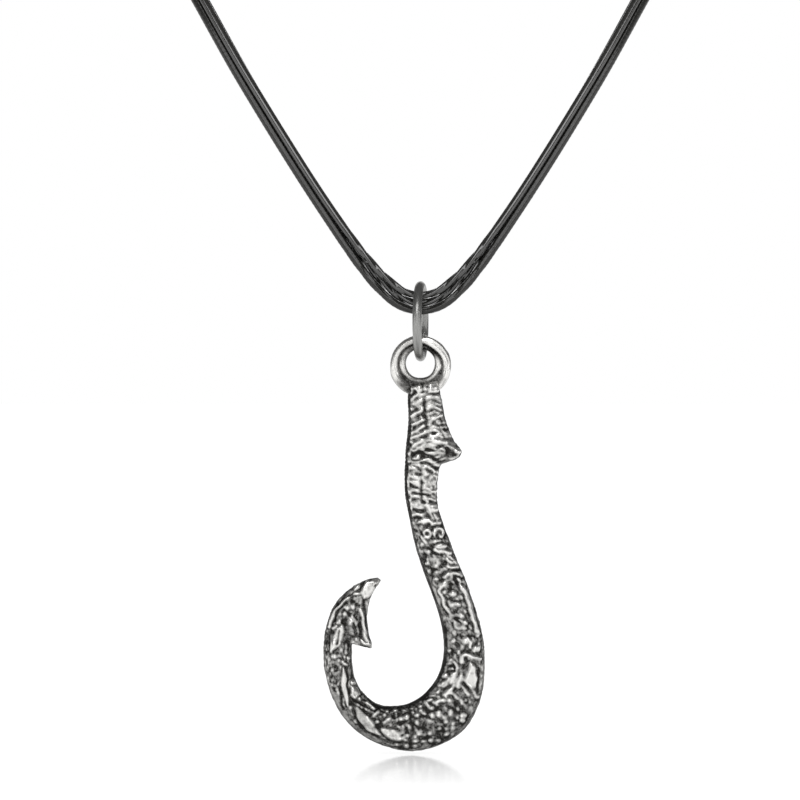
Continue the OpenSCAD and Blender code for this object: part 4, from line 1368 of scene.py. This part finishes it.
class PENDANT_OT_clasp(bpy.types.Operator):
    """Barrel clasp that hides behind the neck"""
    bl_idname = "pendant.clasp"
    bl_label = "Barrel Clasp"
    bl_options = {"REGISTER", "UNDO"}

    def execute(self, context):
        outline, radius = clasp_outline(context.scene.pendant_clasp)
        along, out = outline[:, 0:1], outline[:, 1:2]
        angle = np.linspace(0, 2 * np.pi, CLASP_SIDES, endpoint=False)
        rings = np.stack([
            along + 0 * angle, out * np.cos(angle), out * np.sin(angle)], axis=-1)
        middle_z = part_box("clasp")[0].z / MM + radius
        piece = skin("barrel_clasp", rings + np.array([0, 0, middle_z]))
        face_outward(piece)
        nickel = black_nickel(context.scene.pendant_ring, *TURNED_LINES)
        fit_out(piece, nickel, "necklace", "gunmetal", "clasp")
        return {"FINISHED"}


def soft_light(name, place, target, width, height, power):
    """Rectangular soft light aimed at a point, in metres and watts."""
    light = bpy.data.lights.new(name, "AREA")
    light.shape, light.size, light.size_y, light.energy = "RECTANGLE", width, height, power
    lamp = bpy.data.objects.new(name, light)
    bpy.context.scene.collection.objects.link(lamp)
    lamp.location = place
    lamp.rotation_euler = (Vector(target) - Vector(place)).to_track_quat("-Z", "Y").to_euler()


# [place, width, height] in metres, and watts
SOFT_LIGHTS = {
    "front": [(0, -1.35, -0.1), 0.9, 0.6, 1.95],
    "left": [(-0.95, -0.75, -0.05), 0.3, 0.6, 1.2],
    "right": [(0.95, -0.75, -0.05), 0.3, 0.6, 1.2],
    "high": [(0, -1.06, 0.57), 0.8, 0.46, 4.4],
    "rear": [(0, 1.3, 0.3), 0.9, 0.5, 1.6],
}
FLOOR_REACH = 40
FLOOR_CORNERS = 95
# How far to the back a direction points where the white wall ends and the room begins
WALL_END, ROOM_START = 0.98, 0.93
# How high a direction points where the room starts and ends dimming, and its brightness
DIM_FROM, DIM_TO = 0.05, 0.5
ROOM_LOW, ROOM_HIGH = 0.32, 0.14
SENSOR_WIDTH = 36


def studio_world():
    """World with a white wall behind the pendant and a dimmer room that the metal mirrors."""
    world = bpy.data.worlds.new("studio")
    world.use_nodes = True
    tree = world.node_tree
    tree.nodes.clear()
    ray = add_node(tree, "LightPath")
    way = add_node(tree, "TexCoord")
    axes = add_node(tree, "SeparateXYZ", {}, {0: way.outputs["Generated"]})
    aside = add_node(tree, "MapRange", {"interpolation_type": "SMOOTHSTEP"}, {
        "Value": axes.outputs["Y"], "From Min": WALL_END, "From Max": ROOM_START})
    dimmed = add_node(tree, "Math", {"operation": "MULTIPLY"}, {
        0: ray.outputs["Is Glossy Ray"], 1: aside.outputs["Result"]})
    wall = add_node(tree, "Background", {}, {"Color": (1, 1, 1, 1), "Strength": 1})
    overhead = add_node(tree, "MapRange", {}, {
        "Value": axes.outputs["Z"], "From Min": DIM_FROM, "From Max": DIM_TO,
        "To Min": ROOM_LOW, "To Max": ROOM_HIGH})
    room = add_node(tree, "Background", {}, {
        "Color": (1, 1, 1, 1), "Strength": overhead.outputs["Result"]})
    both = add_node(tree, "MixShader", {}, {
        0: dimmed.outputs["Value"], 1: wall.outputs["Background"],
        2: room.outputs["Background"]})
    add_node(tree, "OutputWorld", {}, {"Surface": both.outputs["Shader"]})
    return world


class PENDANT_OT_stage(bpy.types.Operator):
    """Floor, soft lights, surroundings and camera"""
    bl_idname = "pendant.stage"
    bl_label = "Stage"
    bl_options = {"REGISTER", "UNDO"}

    def execute(self, context):
        stage = context.scene.pendant_stage
        context.scene.view_settings.view_transform = "Standard"
        context.scene.world = studio_world()

        mesh = bpy.data.meshes.new("pale_floor")
        angles = np.linspace(0, 2 * np.pi, FLOOR_CORNERS, endpoint=False)
        corners = [(FLOOR_REACH * math.cos(a), FLOOR_REACH * math.sin(a), 0) for a in angles]
        mesh.from_pydata(corners, [], [list(range(FLOOR_CORNERS))])
        floor = bpy.data.objects.new("pale_floor", mesh)
        context.scene.collection.objects.link(floor)
        floor.location = (0, 0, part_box("hook")[0].z - stage.floor_gap)
        floor.data.materials.append(pale_floor(stage))

        aim = (0, FRONT.y * MM, -stage.view_height)
        for name, (place, width, height, power) in SOFT_LIGHTS.items():
            soft_light(name, place, aim, width, height, power)

        distance = stage.lens * stage.view_width / SENSOR_WIDTH
        camera = bpy.data.objects.new("camera", bpy.data.cameras.new("camera"))
        context.scene.collection.objects.link(camera)
        camera.data.lens, camera.data.sensor_width = stage.lens, SENSOR_WIDTH
        camera.data.clip_start, camera.data.clip_end = 0.01, 100
        camera.location = (stage.view_right, FRONT.y * MM - distance, -stage.view_height)
        camera.rotation_euler = (math.radians(90), 0, 0)
        context.scene.camera = camera
        return {"FINISHED"}


class PENDANT_PT_panel(bpy.types.Panel):
    """Buttons and settings of the pendant"""
    bl_idname = "PENDANT_PT_panel"
    bl_label = "Fish-hook Pendant"
    bl_space_type = "VIEW_3D"
    bl_region_type = "UI"
    bl_category = "Pendant"

    def draw(self, context):
        for title, (settings, operator) in PARTS.items():
            box = self.layout.box()
            box.operator(operator.bl_idname)
            group = getattr(context.scene, title)
            for name in settings.__annotations__:
                box.prop(group, name)


PARTS = {
    "pendant_stage": (StageSettings, PENDANT_OT_stage),
    "pendant_hook": (HookSettings, PENDANT_OT_hook),
    "pendant_ring": (RingSettings, PENDANT_OT_ring),
    "pendant_cord": (CordSettings, PENDANT_OT_cord),
    "pendant_clasp": (ClaspSettings, PENDANT_OT_clasp),
}


def register():
    for title, (settings, operator) in PARTS.items():
        bpy.utils.register_class(settings)
        bpy.utils.register_class(operator)
        setattr(bpy.types.Scene, title, bpy.props.PointerProperty(type=settings))
    bpy.utils.register_class(PENDANT_PT_panel)


def unregister():
    bpy.utils.unregister_class(PENDANT_PT_panel)
    for title, (settings, operator) in PARTS.items():
        delattr(bpy.types.Scene, title)
        bpy.utils.unregister_class(operator)
        bpy.utils.unregister_class(settings)


def main():
    """Builds every piece."""
    register()
    bpy.ops.pendant.stage()
    bpy.ops.pendant.hook()
    bpy.ops.pendant.ring()
    bpy.ops.pendant.cord()
    bpy.ops.pendant.clasp()


if __name__ == "__main__":
    main()
